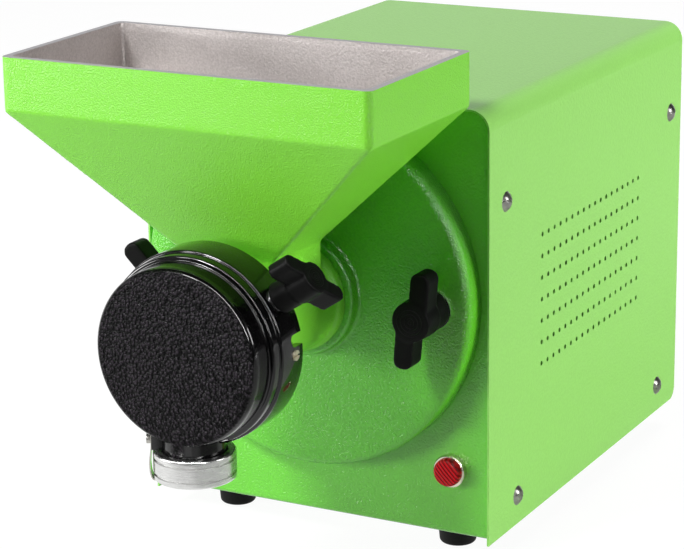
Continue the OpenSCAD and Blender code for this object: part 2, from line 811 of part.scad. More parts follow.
module rotating_burr() color(dark_steel) in_housing() difference() {
    rod(burr_d / 2, turning_burr_front, turning_burr_back);
    turned(turning_burr_back) polygon([[auger_core_d / 2 + 0.5, -burr_t / 2], [auger_core_d / 2 + 0.5, over],
        [bore_r + 1, over], [bore_r + 1, 0], [bore_r - 4, -burr_t / 2]]);
    cut_grooves(turning_burr_back);
    flatted(burr_seat_d + 0.06, burr_flats + 0.06, turning_burr_front - over, turning_burr_back + over);
}

module burr_nut() color(steel) in_housing() difference() {
    translate([0, turning_burr_front, axis_h]) rotate([90, 0, 0]) linear_extrude(burr_nut_h) hexagon(17);
    rod(burr_thread_d / 2 + 0.02, nut_front - over, turning_burr_front + over);
}

// Grinding head

module head_outline() {
    translate([0, head_face + drum_round]) square([drum_r, head_back - head_face - drum_round]);
    translate([0, head_face]) square([drum_r - drum_round, head_back - head_face]);
    translate([drum_r - drum_round, head_face + drum_round]) circle(drum_round);
    translate([0, lip_front + 1]) square([lip_d / 2, head_back - lip_front - 1]);
    translate([0, lip_front]) square([lip_d / 2 - 1, head_back - lip_front]);
    translate([lip_d / 2 - 1, lip_front + 1]) circle(1);
    translate([0, ring_front + 1]) square([ring_r, head_back - ring_front - 1]);
    translate([0, ring_front]) square([ring_r - 1, head_back - ring_front]);
    translate([ring_r - 1, ring_front + 1]) circle(1);
}

head_screw_y = (head_back + ring_front) / 2;

module grinding_head() color(black_paint) in_housing() difference() {
    union() {
        turned() intersection() {
            head_outline();
            translate([0, head_face]) square([ring_r + over, head_back - head_face]);
        }
        translate([0, outlet_y, spout_end]) cylinder(r = spout_r, h = axis_h - drum_bore_r - spout_end);
        at_outlet() translate([clip_x - 8, -clip_foot_w / 2, outlet_top + 1])
            cube([8, clip_foot_w, axis_h - drum_bore_r - outlet_top]);
    }
    rod(drum_bore_r, head_inside, flange_front);
    rod(ring_bore_r, flange_front - seat_gap, head_back + over);
    translate([0, outlet_y, spout_end - over]) cylinder(d = spout_bore, h = axis_h - spout_end);
    radial(head_screw_y, head_knob_angle) cylinder(r = stud_d / 2 + run_gap, h = ring_r + 5);
    radial(head_back, notch_angle) {
        translate([-notch_w / 2, -notch_depth + notch_w / 2, ring_bore_r - 6])
            cube([notch_w, notch_depth, 20]);
        translate([0, -notch_depth + notch_w / 2, ring_bore_r - 6]) cylinder(d = notch_w, h = 20);
    }
    radial(stop_screw_y, stop_screw_angle) {
        cylinder(d = 4, h = ring_r + 5);
        translate([0, 0, stop_screw_seat]) cylinder(d = stop_screw_head_d + 0.4, h = 8);
    }
    at_outlet() translate([clip_x - 9, 0, clip_screw_z]) rotate([0, 90, 0]) cylinder(d = 3, h = 12);
}
stop_screw_y = head_back - 8.5;
stop_screw_head_d = 6;
stop_screw_seat = ring_r - 1.4;
clip_screw_z = outlet_top + 6;

module stop_screw() color(steel) in_housing() radial(stop_screw_y, stop_screw_angle) {
    difference() {
        translate([0, 0, stop_screw_seat]) cylinder(d = stop_screw_head_d, h = 2.2);
        translate([-0.6, -stop_screw_head_d, stop_screw_seat + 1.1]) cube([1.2, 2 * stop_screw_head_d, 3]);
    }
    translate([0, 0, ring_bore_r + 0.2]) cylinder(d = 4, h = stop_screw_seat - ring_bore_r);
}

module at_outlet() {
    translate([0, outlet_y, 0]) rotate([0, 0, clip_angle]) children();
}

module outlet_ring() color(aluminium) in_housing()
    translate([0, outlet_y, outlet_bottom]) rotate_extrude() outlet_ring_outline();

module outlet_ring_outline() difference() {
    translate([outlet_bore_r, 0]) square([outlet_r - outlet_bore_r, outlet_h]);
    for (z = [outlet_h * 0.24, outlet_h * 0.76]) translate([outlet_r, z]) circle(0.9);
    translate([outlet_r, 0]) rotate(45) square(1.6, center = true);
    translate([outlet_r, outlet_h]) rotate(45) square(1.6, center = true);
}

module outlet_clip() color(steel) in_housing() at_outlet() difference() {
    union() {
        translate([clip_x, -clip_w / 2, outlet_bottom - 1.6])
            cube([clip_t, clip_w, clip_screw_z + 5.6 - outlet_bottom]);
        translate([clip_x - 3.5, -clip_w / 2, outlet_bottom - 1.6]) cube([3.5 + eps, clip_w, clip_t]);
    }
    translate([clip_x - over, 0, clip_screw_z]) rotate([0, 90, 0]) cylinder(d = 3.2, h = 4);
}

module clip_screw() color(steel) in_housing() at_outlet() translate([clip_x + clip_t, 0, clip_screw_z])
    rotate([0, -90, 0]) cap_screw(3, 6, 5.5, 2);

// Wing knobs

// Knob with its axis along +Z: hub, and a wing whose two lobes are set off to either side
module wing_knob(h, wing_len, hub_d, stud_hole) {
    hub_r = hub_d / 2;
    wing_w = hub_d * 0.48;
    wing_h = h * 0.52;
    offset_x = hub_r - wing_w / 2 - 2.8;
    tip_r = wing_w * 0.42;
    difference() {
        union() {
            cylinder(r1 = hub_r + 1, r2 = hub_r - 0.5, h = h - wing_h + 2);
            translate([0, 0, h - wing_h]) cylinder(r = hub_r, h = wing_h);
            translate([0, 0, h - wing_h]) linear_extrude(wing_h - 0.6) for (s = [1, -1]) {
                end = wing_len / 2 - tip_r;
                translate([s * offset_x - wing_w / 2, s > 0 ? 0 : -end]) square([wing_w, end]);
                translate([s * offset_x - wing_w / 2 + tip_r, s > 0 ? 0 : -wing_len / 2])
                    square([wing_w - 2 * tip_r, wing_len / 2]);
                for (k = [-1, 1]) translate([s * offset_x + k * (wing_w / 2 - tip_r), s * end]) circle(tip_r);
            }
        }
        translate([0, 0, -over]) cylinder(d = stud_hole, h = knob_grip + over);
        for (r = [hub_r * 0.35, hub_r * 0.6]) translate([0, 0, h - 0.5]) difference() {
            cylinder(r = r + 0.4, h = 2);
            translate([0, 0, -over]) cylinder(r = r - 0.4, h = 4);
        }
    }
}
knob_grip = 12;

module washer(d_out) {
    difference() {
        cylinder(d = d_out, h = washer_t);
        translate([0, 0, -over]) cylinder(r = stud_d / 2 + seat_gap, h = washer_t + 2 * over);
    }
}

module at_disc_knob(side) {
    translate([side * disc_knob_x, disc_face, axis_h]) rotate([90, 0, 0]) children();
}

module disc_knob(side, turn) {
    color(black_plastic) in_housing() at_disc_knob(side) translate([0, 0, washer_t]) rotate([0, 0, turn])
        wing_knob(disc_knob_h, disc_wing_len, disc_hub_d, stud_d);
}

module disc_stud(side) {
    color(steel) in_housing() at_disc_knob(side) translate([0, 0, -(disc_t + tray_sheet + panel_nut_h)])
        cylinder(d = stud_d, h = disc_t + tray_sheet + panel_nut_h + washer_t + knob_grip);
}

module disc_washer(side) {
    color(steel) in_housing() at_disc_knob(side) washer(disc_hub_d - 1);
}

module disc_knob_right() disc_knob(1, right_knob_turn);
module disc_stud_right() disc_stud(1);
module disc_washer_right() disc_washer(1);
module disc_knob_left() disc_knob(-1, left_knob_turn);
module disc_stud_left() disc_stud(-1);
module disc_washer_left() disc_washer(-1);

// The head's knob stands on the ring's round side, clear of it by the washer's curve
head_washer_d = 14;
head_washer_seat = ring_r + 0.05;

module head_knob() color(black_plastic) in_housing() radial(head_screw_y, head_knob_angle)
    translate([0, 0, head_washer_seat + washer_t]) rotate([0, 0, head_knob_turn])
        wing_knob(head_knob_h, head_wing_len, head_hub_d, stud_d);

module head_stud() color(steel) in_housing() radial(head_screw_y, head_knob_angle)
    translate([0, 0, flange_r + seat_gap])
        cylinder(d = stud_d, h = head_washer_seat + washer_t + knob_grip - flange_r - seat_gap);

module head_washer() color(steel) in_housing() radial(head_screw_y, head_knob_angle)
    translate([0, 0, head_washer_seat]) washer(head_washer_d);

// Gearbox

function inv(a) = tan(a) - a * PI / 180;

// Half the angle of a tooth at radius r
function tooth_half(teeth, r) =
    let (pitch_r = gear_module * teeth / 2, base_r = pitch_r * cos(pressure), a = acos(min(1, base_r / r)))
    90 / teeth - backlash / 4 / pitch_r * 180 / PI + (inv(pressure) - inv(a)) * 180 / PI;

// Outline of a spur gear with its first tooth pointing at angle phase
module gear_outline(teeth, phase) {
    pitch_r = gear_module * teeth / 2;
    root_r = pitch_r - dedendum;
    tip_r = pitch_r + addendum;
    steps = 5;
    start_r = max(root_r, pitch_r * cos(pressure));
    radii = concat([root_r], [for (k = [0 : steps]) start_r + (tip_r - start_r) * k / steps]);
    polygon([for (i = [0 : teeth - 1]) let (mid = phase + i * 360 / teeth) each concat(
        [for (r = radii) let (a = mid - tooth_half(teeth, max(r, start_r))) r * [cos(a), sin(a)]],
        [for (k = [len(radii) - 1 : -1 : 0]) let (r = radii[k], a = mid + tooth_half(teeth, max(r, start_r)))
            r * [cos(a), sin(a)]])]);
}

module gear(teeth, phase, y0, y1, z, bore_r) {
    difference() {
        translate([0, 0, z]) along(y0, y1) gear_outline(teeth, phase);
        rod(bore_r, y0 - over, y1 + over, 0, z);
    }
}

module case_body(r, y0, y1) {
    rod(r, y0, y1);
    rod(r, y0, y1, 0, lay_z);
    translate([-r, y0, lay_z]) cube([2 * r, y1 - y0, centres]);
}

// Places of the bolts that join the case to its front plate, with +Z pointing backwards
module case_bolt_places(y) {
    for (a = [35, 145, 90]) translate([case_bolt_r * cos(a), y, axis_h + case_bolt_r * sin(a)])
        rotate([-90, 0, 0]) children();
    for (a = [215, 325, 270]) translate([case_bolt_r * cos(a), y, lay_z + case_bolt_r * sin(a)])
        rotate([-90, 0, 0]) children();
}
case_bolt_r = case_r + 3;
case_lug_r = 7;

module gearbox_plate() color(dark_steel) in_housing() difference() {
    union() {
        case_body(case_r, panel_back, plate_back);
        case_bolt_places(panel_back) cylinder(r = case_lug_r, h = plate_back - panel_back);
        rod(panel_bolt_r + 8, panel_back, panel_back + 8);
        rod(register_d / 2, register_front, plate_back);
        rod(output_bush_r + 5, plate_back - eps, hub_back);
    }
    rod(output_bush_r, register_front - over, hub_back + over);
    rod(lay_bush_r, plate_back - 10, plate_back + over, 0, lay_z);
    case_bolt_places(panel_back - over) cylinder(d = 5, h = 20);
    panel_bolt_places() rotate([-90, 0, 0]) cylinder(d = 6, h = panel_back + 8 + over);
}

module gearbox_case() color(dark_steel) in_housing() difference() {
    union() {
        case_body(case_r, plate_back, case_back);
        case_bolt_places(plate_back) cylinder(r = case_lug_r, h = 10);
        rod(motor_r, case_back - 6, case_back);
    }
    case_body(chamber_r, plate_back - over, case_floor);
    rod(bearing_r, case_floor - over, case_floor + bearing_w);
    rod(bearing_r - 4, case_floor, case_back + over);
    rod(lay_bush_r, case_floor - over, case_back + over, 0, lay_z);
    case_bolt_places(plate_back - over) cylinder(d = 5.3, h = 10 + 2 * over);
    case_bolt_places(plate_back + 10) cylinder(d = 12, h = case_back - plate_back);
}

module drive_bolts() color(steel) in_housing() {
    case_bolt_places(plate_back + 10) rotate([180, 0, 0]) cap_screw(5, 10 + plate_back - panel_back, 8.5, 5);
    panel_bolt_places() translate([0, panel_y, 0]) rotate([-90, 0, 0]) cap_screw(6, tray_sheet + 8, 10, 4);
    cradle_bolt_places() translate([0, 0, base_lift]) cap_screw(6, tray_sheet + 4 + 6, 10, 2.5);
    cradle_bolt_places() translate([0, 0, base_z + 4]) difference() {
        linear_extrude(5) hexagon(10);
        translate([0, 0, -over]) cylinder(d = 6.04, h = 5 + 2 * over);
    }
}

module gearbox_bushes() color(bronze) in_housing() {
    tube(output_bush_r, output_d / 2 + run_gap, register_front, hub_back);
    tube(lay_bush_r, layshaft_d / 2 + run_gap, plate_back - 10, plate_back, 0, lay_z);
    tube(lay_bush_r, layshaft_d / 2 + run_gap, case_floor, case_back, 0, lay_z);
}

key_w = 6;

module output_shaft() color(steel) in_housing() difference() {
    union() {
        rod(output_d / 2, drive_y, output_end);
        translate([-key_w / 2, slow_y + 1, axis_h])
            cube([key_w, slow_width - 2, output_d / 2 + key_w / 2 - 0.1]);
    }
    translate([-output_d, drive_y - over, axis_h - tongue_t / 2 - 0.15])
        cube([2 * output_d, tongue_len + tongue_gap + over, tongue_t + 0.3]);
}

module output_wheel() color(dark_steel) in_housing() difference() {
    gear(wheel_teeth, -90, slow_y, slow_y + slow_width, axis_h, output_d / 2 + 0.01);
    translate([-key_w / 2 - 0.02, slow_y - over, axis_h])
        cube([key_w + 0.04, slow_width + 2 * over, output_d / 2 + key_w / 2]);
}

module layshaft() color(steel) in_housing() rod(layshaft_d / 2, plate_back - 9.5, case_back - 0.5, 0, lay_z);

module layshaft_wheel() color(dark_steel) in_housing()
    gear(wheel_teeth, 90 + 180 / wheel_teeth, fast_y, fast_y + fast_width, lay_z, layshaft_d / 2 + 0.01);

module layshaft_pinion() color(dark_steel) in_housing() {
    teeth_end = slow_y + slow_width + 1;
    gear(pinion_teeth, 90 + 180 / pinion_teeth, slow_y - 1, teeth_end, lay_z, layshaft_d / 2 + 0.01);
    tube(layshaft_d / 2 + 2, layshaft_d / 2 + 0.01, teeth_end - eps, fast_y, 0, lay_z);
}

// Motor

module motor_shell() color(dark_steel) in_housing() difference() {
    union() {
        rod(motor_r - 3, shell_y, shell_end);
        rod(motor_r, shell_y, shell_y + 8);
        rod(motor_r, shell_end - 8, shell_end);
        for (a = [0 : 15 : 345]) translate([0, shell_y, axis_h]) rotate([0, a, 0])
            translate([motor_r - motor_wall, 0, -1.25]) cube([motor_wall, motor_len, 2.5]);
    }
    rod(motor_r - motor_wall, shell_y - over, shell_end + over);
}

stator_bore_r = rotor_r + 0.5;
stator_r = motor_r - motor_wall;

module stator_core() color(steel) in_housing() difference() {
    tube(stator_r, stator_bore_r, core_y, core_y + core_len);
    for (a = [0 : 30 : 330]) translate([0, core_y - over, axis_h]) rotate([0, a, 0])
        translate([stator_bore_r + 3, 0, -4]) cube([10, core_len + 2 * over, 8]);
}

module stator_windings() color(copper) in_housing() {
    for (y = [core_y - 14, core_y + core_len]) turned(y) {
        translate([stator_bore_r + 6, 0]) square([10, 14]);
        translate([stator_bore_r + 3, 3]) square([16, 8]);
        for (x = [stator_bore_r + 6, stator_bore_r + 16], z = [3, 11]) translate([x, z]) circle(3);
    }
    for (a = [0 : 30 : 330]) translate([0, core_y, axis_h]) rotate([0, a, 0])
        translate([stator_bore_r + 3.3, 0, -3.7]) cube([9.4, core_len, 7.4]);
}

module end_shield() color(dark_steel) in_housing() difference() {
    union() {
        rod(motor_r, shell_end, shield_end);
        rod(stator_r - 0.05, shell_end - 4, shield_end);
        rod(bearing_r + 5, shell_end - 8, shield_end);
    }
    rod(bearing_r, shell_end - 8 - over, shell_end - 8 + bearing_w);
    rod(bearing_r - 4, shell_end - 8, shield_end + over);
}

module motor_bearings() color(steel) in_housing() {
    tube(bearing_r, motor_shaft_d / 2 + run_gap, case_floor, case_floor + bearing_w);
    tube(bearing_r, motor_shaft_d / 2 + run_gap, shell_end - 8, shell_end - 8 + bearing_w);
}

module rotor_core() color(steel) in_housing() difference() {
    tube(rotor_r, motor_shaft_d / 2 + 0.01, core_y, core_y + core_len);
    for (a = [0 : 20 : 340]) translate([0, core_y - over, axis_h]) rotate([0, a, 0])
        translate([rotor_r - 5, 0, 0]) rotate([-90, 0, 0]) cylinder(r = 2, h = core_len + 2 * over);
}

module motor_shaft() color(steel) in_housing() rod(motor_shaft_d / 2, fast_y - 1, fan_y + fan_w);

module motor_pinion() color(dark_steel) in_housing()
    gear(pinion_teeth, -90, fast_y - 1, fast_y + fast_width + 1, axis_h, motor_shaft_d / 2 + 0.01);

module cooling_fan() color(black_plastic) in_housing() difference() {
    union() {
        rod(16, fan_y, fan_y + fan_w);
        rod(fan_r, fan_y, fan_y + 2);
        for (a = [0 : 45 : 315]) translate([0, fan_y, axis_h]) rotate([0, a, 0])
            translate([12, 1, -1]) cube([fan_r - 14, fan_w - 2, 2]);
    }
    rod(motor_shaft_d / 2 + 0.01, fan_y - over, fan_y + fan_w + over);
}

module fan_cowl() color(dark_steel) in_housing() difference() {
    rod(motor_r + 1.5, shell_end, cowl_end);
    rod(motor_r + 0.02, shell_end - over, cowl_end - 1.5);
    for (r = [16 : 11 : motor_r - 6], a = [0 : 360 / round(r * 0.45) : 359])
        rod(3, cowl_end - 3, cowl_end + over, r * cos(a), axis_h + r * sin(a));
}

module motor_cradle() color(dark_steel) in_housing() difference() {
    union() {
        translate([-cradle_bolt_x - cradle_edge, cradle_y, base_z])
            cube([2 * (cradle_bolt_x + cradle_edge), cradle_len, 4]);
        for (y = [cradle_y, cradle_y + cradle_len - 5])
            translate([-motor_r * 0.8, y, base_z]) cube([motor_r * 1.6, 5, axis_h - motor_r * 0.6 - base_z]);
    }
    rod(motor_r, cradle_y - over, cradle_y + cradle_len + over);
    cradle_bolt_places() translate([0, 0, base_z - over]) cylinder(d = 6.4, h = 6);
}

// Electrics

cap_r = 17.5;
cap_len = 70;
cap_y = shell_y + 40;
cap_z = axis_h + motor_r + 2 + cap_r;

// The capacitor lies on two saddles on top of the motor
module capacitor() color(aluminium) in_housing() {
    rod(cap_r, cap_y, cap_y + cap_len, 0, cap_z);
    rod(cap_r - 3, cap_y - 3, cap_y + eps, 0, cap_z);
    for (x = [-6, 6]) translate([x - 3, cap_y - 12, cap_z - 0.4]) cube([6, 9.5, 0.8]);
    for (y = [cap_y + 10, cap_y + cap_len - 22])
        translate([-8, y, axis_h + motor_r]) cube([16, 12, 6]);
}

// The terminal block lies on the base beside the cradle, just in front of a rear foot
way_pitch = 12;
block_w = 18;
block_h = 16;
block_len = 3 * way_pitch + 14;
block_x = cradle_bolt_x + cradle_edge + 2 + block_w / 2;
block_y = cover_d - foot_inset_y - 7 - block_len;

// Place along Y of one way of the terminal block
function way_y(i) = block_y + 7 + i * way_pitch;

module terminal_block() color(black_plastic) in_housing() difference() {
    translate([block_x - block_w / 2, block_y, base_z]) cube([block_w, block_len, block_h]);
    for (i = [0 : 3]) {
        translate([block_x, way_y(i), base_z + 6]) cylinder(d = 5, h = block_h);
        translate([block_x - block_w, way_y(i), base_z + 5])
            rotate([0, 90, 0]) cylinder(d = 4, h = 2 * block_w);
    }
}

switch_w = 15;
switch_h = 21;
switch_tilt = 10;
rocker_pivot = 5;

module at_switch() {
    translate([-switch_x, rear_y, rear_fit_h]) children();
}

module switch_body() color(black_plastic) in_housing() at_switch() difference() {
    union() {
        along(0, 2) square([switch_w + 4, switch_h + 4], center = true);
        along(-18, eps) square([switch_w, switch_h], center = true);
        for (z = [-6, 6]) translate([-3, -26, z - 0.4]) cube([6, 8.5, 0.8]);
    }
    along(2 - rocker_pivot - 4, 2 + over) square([switch_w - 4, switch_h - 2.4], center = true);
    translate([-switch_w, 2 - rocker_pivot, 0]) rotate([0, 90, 0]) cylinder(r = 1.25 + 0.05, h = 2 * switch_w);
}

module switch_rocker() color(black_plastic) in_housing() at_switch()
    translate([0, 2 - rocker_pivot, 0]) rotate([-switch_tilt, 0, 0]) {
        across(switch_w - 4.6) polygon([[-1.5, -6], [5.5, -8], [4.4, 0], [5.5, 8], [-1.5, 6]]);
        translate([-(switch_w - 1) / 2, 0, 0]) rotate([0, 90, 0]) cylinder(r = 1.25, h = switch_w - 1);
    }

inlet_w = 27;
inlet_h = 20;

module power_inlet() color(black_plastic) in_housing() translate([inlet_x, rear_y, rear_fit_h]) difference() {
    union() {
        along(0, 3) rounded_square(inlet_w + 14, inlet_h + 5, 4);
        along(-22, eps) square([inlet_w, inlet_h], center = true);
        for (x = [-7, 0, 7]) translate([x - 2, -30, -0.4]) cube([4, 8.5, 0.8]);
    }
    difference() {
        along(-17, 3 + over) square([inlet_w - 3, inlet_h - 3], center = true);
        for (x = [-7, 0, 7]) translate([x - 1, -18, (x == 0 ? 2 : -2) - 2]) cube([2, 15, 4]);
    }
}

// A wire through a list of points
module wire(points, r = 1.3) {
    for (i = [0 : len(points) - 2]) {
        d = points[i + 1] - points[i];
        translate(points[i]) rotate([0, acos(d[2] / norm(d)), atan2(d[1], d[0])]) cylinder(r = r, h = norm(d));
        if (i > 0) translate(points[i]) sphere(r + 0.25, $fn = 24);
    }
}

// Wires end a little short of the terminals they serve
module wiring() color(black_plastic) in_housing() {
    low = base_z + 10;
    way_z = base_z + 5;
    left_x = block_x - block_w / 2 - 0.3;
    right_x = block_x + block_w / 2 + 0.3;
    rear_tab = rear_y - 26.3;
    inlet_tab = rear_y - 30.3;
    cap_tab = cap_y - 12.3;
    lamp_tab = panel_back + 34.3;
    // Switch to terminal block
    wire([[-switch_x, rear_tab, rear_fit_h - 6], [-switch_x, rear_tab - 6, rear_fit_h - 6],
        [-switch_x, rear_tab - 6, low], [left_x - 10, rear_tab - 6, low],
        [left_x - 10, way_y(3), way_z], [left_x, way_y(3), way_z]]);
    // Switch to inlet
    wire([[-switch_x, rear_tab, rear_fit_h + 6], [-switch_x, rear_tab - 11, rear_fit_h + 6],
        [inlet_x - 7, rear_tab - 11, rear_fit_h + 6], [inlet_x - 7, inlet_tab, rear_fit_h]]);
    // Inlet to terminal block
    wire([[inlet_x + 7, inlet_tab, rear_fit_h], [inlet_x + 7, inlet_tab - 11, rear_fit_h],
        [left_x - 6, way_y(2), way_z], [left_x, way_y(2), way_z]]);
    // Lamp to terminal block
    for (i = [0, 1])
        wire([[lamp_x - 2.5 + 5 * i, lamp_tab, lamp_h], [lamp_x - 2.5 + 5 * i, lamp_tab + 8, lamp_h],
            [right_x + 2 + 3.5 * i, lamp_tab + 26, low], [right_x + 2 + 3.5 * i, way_y(i), way_z],
            [right_x, way_y(i), way_z]]);
    // Capacitor to motor
    for (i = [0, 1])
        wire([[6 - 12 * i, cap_tab, cap_z], [6 - 12 * i, cap_tab - 6, cap_z],
            [6 - 12 * i, cap_tab - 6, axis_h + motor_r - 2.6]]);
    // Terminal block to motor
    wire([[left_x, way_y(1), way_z], [left_x - 6, way_y(1), way_z], [0, way_y(1), axis_h - motor_r - 20],
        [0, way_y(1), axis_h - motor_r - 0.3]]);
}

chassis_tray();
top_cover();
cover_screws();
rubber_feet();
foot_screws();
lamp_bezel();
lamp_lens();
lamp_body();
lamp_nut();
panel_nuts();
mounting_disc();
hopper_casting();
barrel_screws();
barrel_bush();
fixed_burr();
burr_screws();
auger_shaft();
auger_flight();
rotating_burr();
burr_nut();
grinding_head();
stop_screw();
outlet_ring();
outlet_clip();
clip_screw();
disc_knob_right();
disc_stud_right();
disc_washer_right();
disc_knob_left();
disc_stud_left();
disc_washer_left();
head_knob();
head_stud();
head_washer();
gearbox_plate();
gearbox_case();
drive_bolts();
gearbox_bushes();
output_shaft();
output_wheel();
layshaft();
layshaft_wheel();
layshaft_pinion();
motor_shell();
stator_core();
stator_windings();
end_shield();
motor_bearings();
rotor_core();
motor_shaft();
motor_pinion();
cooling_fan();
fan_cowl();
motor_cradle();
capacitor();
terminal_block();
switch_body();
switch_rocker();
power_inlet();
wiring();
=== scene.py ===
"""Looks of a bench nut butter grinder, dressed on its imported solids."""

import math

import bmesh
import bpy
from mathutils import Matrix, Vector


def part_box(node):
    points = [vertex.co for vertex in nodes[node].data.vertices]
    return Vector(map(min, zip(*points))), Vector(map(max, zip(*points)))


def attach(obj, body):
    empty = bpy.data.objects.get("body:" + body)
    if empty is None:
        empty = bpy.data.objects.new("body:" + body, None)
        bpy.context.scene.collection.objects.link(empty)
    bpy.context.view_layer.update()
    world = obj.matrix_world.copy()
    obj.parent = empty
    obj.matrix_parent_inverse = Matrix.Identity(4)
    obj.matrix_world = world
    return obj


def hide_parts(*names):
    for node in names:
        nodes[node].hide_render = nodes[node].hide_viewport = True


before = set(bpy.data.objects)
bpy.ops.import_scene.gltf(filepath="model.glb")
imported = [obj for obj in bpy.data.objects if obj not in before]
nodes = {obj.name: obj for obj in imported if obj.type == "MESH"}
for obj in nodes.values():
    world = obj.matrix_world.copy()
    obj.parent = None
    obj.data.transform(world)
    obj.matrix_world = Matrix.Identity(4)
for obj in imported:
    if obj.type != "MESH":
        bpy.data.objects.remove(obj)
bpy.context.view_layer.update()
mm = 0.001

# Camera: it stands to the right of the grinder's front, a little above it, and looks down on it.
# Its turn and its distance were found from the housing's straight edges and the head's circles.
yaw, pitch, roll = math.radians(28.274), math.radians(16.016), math.radians(-0.841)
sight = Vector((-math.sin(yaw) * math.cos(pitch), math.cos(yaw) * math.cos(pitch), -math.sin(pitch)))
level = Vector((math.cos(yaw), math.sin(yaw), 0))
square_up = level.cross(sight)
side = level * math.cos(roll) + square_up * math.sin(roll)
upward = square_up * math.cos(roll) - level * math.sin(roll)
lens = bpy.data.cameras.new("photo_camera")
lens.sensor_fit = "HORIZONTAL"
lens.sensor_width = 36
lens.lens = 131.2
lens.clip_end = 20
camera = bpy.data.objects.new("photo_camera", lens)
turn = Matrix((side, upward, -sight)).transposed().to_4x4()
camera.matrix_world = Matrix.Translation((0.68344, -1.30591, 0.57212)) @ turn
bpy.context.scene.collection.objects.link(camera)
bpy.context.scene.camera = camera


# Chassis tray and cover
# Two bent steel sheets: the tray is base, front panel and rear panel, and the cover goes over it as an
# inverted U with punched vent holes. Both have a green powder coat that sets to a fine orange peel.
class Surface:
    """A value over a surface: one socket of a material, with arithmetic that adds the nodes for it."""

    def __init__(self, socket):
        self.socket = socket
        self.tree = socket.id_data

    def node(self, kind, settings, inputs, output=0):
        made = self.tree.nodes.new(kind)
        for setting, value in settings.items():
            if setting == "stops":
                stops = made.color_ramp.elements
                stops.remove(stops[1])
                stops[0].position, stops[0].color = value[0]
                for position, colour in value[1:]:
                    stops.new(position).color = colour
            else:
                setattr(made, setting, value)
        for name, value in inputs.items():
            if isinstance(value, Surface):
                self.tree.links.new(value.socket, made.inputs[name])
            else:
                made.inputs[name].default_value = value
        return Surface(made.outputs[output])

    def maths(self, operation, first, second):
        return self.node("ShaderNodeMath", {"operation": operation}, {0: first, 1: second})

    def __add__(self, other):
        return self.maths("ADD", self, other)

    def __radd__(self, other):
        return self.maths("ADD", other, self)

    def __sub__(self, other):
        return self.maths("SUBTRACT", self, other)

    def __rsub__(self, other):
        return self.maths("SUBTRACT", other, self)

    def __mul__(self, other):
        return self.maths("MULTIPLY", self, other)

    def __rmul__(self, other):
        return self.maths("MULTIPLY", other, self)

    def noise(self, scale, detail=2):
        return self.node("ShaderNodeTexNoise", {}, {"Vector": self, "Scale": scale, "Detail": detail})

    def stretched(self, x, y, z):
        return self.node("ShaderNodeMapping", {}, {"Vector": self, "Scale": (x, y, z)})

    def part(self, letter):
        return self.node("ShaderNodeSeparateXYZ", {}, {0: self}, letter)

    def rise(self, low, high):
        settings = {"interpolation_type": "SMOOTHSTEP"}
        return self.node("ShaderNodeMapRange", settings, {"Value": self, "From Min": low, "From Max": high})

    def blend(self, first, second):
        colours = {0: self, 6: (*first, 1), 7: (*second, 1)}
        return self.node("ShaderNodeMix", {"data_type": "RGBA"}, colours, 2)

    def relief(self, depth, strength=1.0):
        return self.node("ShaderNodeBump", {}, {"Height": self, "Distance": depth, "Strength": strength})

    def into(self, shader, socket):
        self.tree.links.new(self.socket, shader.inputs[socket])


def new_finish(name, **fixed):
    """A material, its shader with the values that are the same all over, and the place on the piece."""
    material = bpy.data.materials.new(name)
    material.use_nodes = True
    shader = material.node_tree.nodes["Principled BSDF"]
    for socket, value in fixed.items():
        shader.inputs[socket.replace("_", " ").title().replace("Ior", "IOR")].default_value = value
    place = Surface(material.node_tree.nodes.new("ShaderNodeTexCoord").outputs["Object"])
    return material, shader, place


def green_coat(name, colour, gloss, grain, depth, shade):
    """Green powder coat: an orange peel of the given grain and depth, with painted shade making its hollows a
    little darker.
    """
    material, shader, place = new_finish(name, specular_ior_level=gloss)
    peel = place.noise(grain, 1)
    fine = place.noise(grain * 2.7)
    cloud = place.noise(9)
    # The peel's hollows are painted darker by the factor shade: painted shade of the peel. The cloud is the
    # coat's own uneven tone.
    tone = 0.75 * peel.rise(0.3, 0.7) + 0.25 * cloud
    tone.blend([c * shade for c in colour], colour).into(shader, "Base Color")
    (0.18 + 0.12 * fine).into(shader, "Roughness")
    (peel + 0.25 * fine).relief(depth).into(shader, "Normal")
    return material


def dress(material, *names):
    """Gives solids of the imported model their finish."""
    for name in names:
        for slot in nodes[name].material_slots:
            slot.material = material


cover_green = green_coat("cover_green", (0.312, 0.69, 0.150), 0.13, 620, 0.0002, 0.95)
dress(cover_green, "top_cover")
# The tray's green is darker and greener than the hopper's. This is partly painted shade for the hopper's
# shadow on the front panel.
tray_green_with_painted_shade = green_coat("tray_green_with_painted_shade", (0.140, 0.61, 0.026), 0.8, 760, 0.0004, 0.92)
dress(tray_green_with_painted_shade, "chassis_tray")


# Cover screws and the other bright fasteners
# Domed steel screws hold the cover to the tray's flanges, and plated screws, nuts and washers hold the
# rest. They are zinc bright, with slightly uneven plating.
def metal(name, colour, shine, grain, depth):
    """Bare metal with a given roughness, and a grain that shifts its tone, its shine and its surface."""
    material, shader, place = new_finish(name, metallic=1.0)
    tone = place.noise(grain, 3)
    tone.rise(0.3, 0.7).blend([c * 0.86 for c in colour], colour).into(shader, "Base Color")
    (shine - 0.06 + 0.14 * tone).into(shader, "Roughness")
    place.noise(grain * 2).relief(depth, 0.6).into(shader, "Normal")
    return material


plated_steel = metal("plated_steel", (0.46, 0.45, 0.42), 0.28, 500, 0.00004)
dress(plated_steel, "cover_screws", "foot_screws", "panel_nuts", "lamp_nut", "drive_bolts", "barrel_screws",
      "burr_screws", "burr_nut", "clip_screw")
yellow_zinc = metal("yellow_zinc", (0.74, 0.68, 0.52), 0.48, 500, 0.00004)
dress(yellow_zinc, "stop_screw")


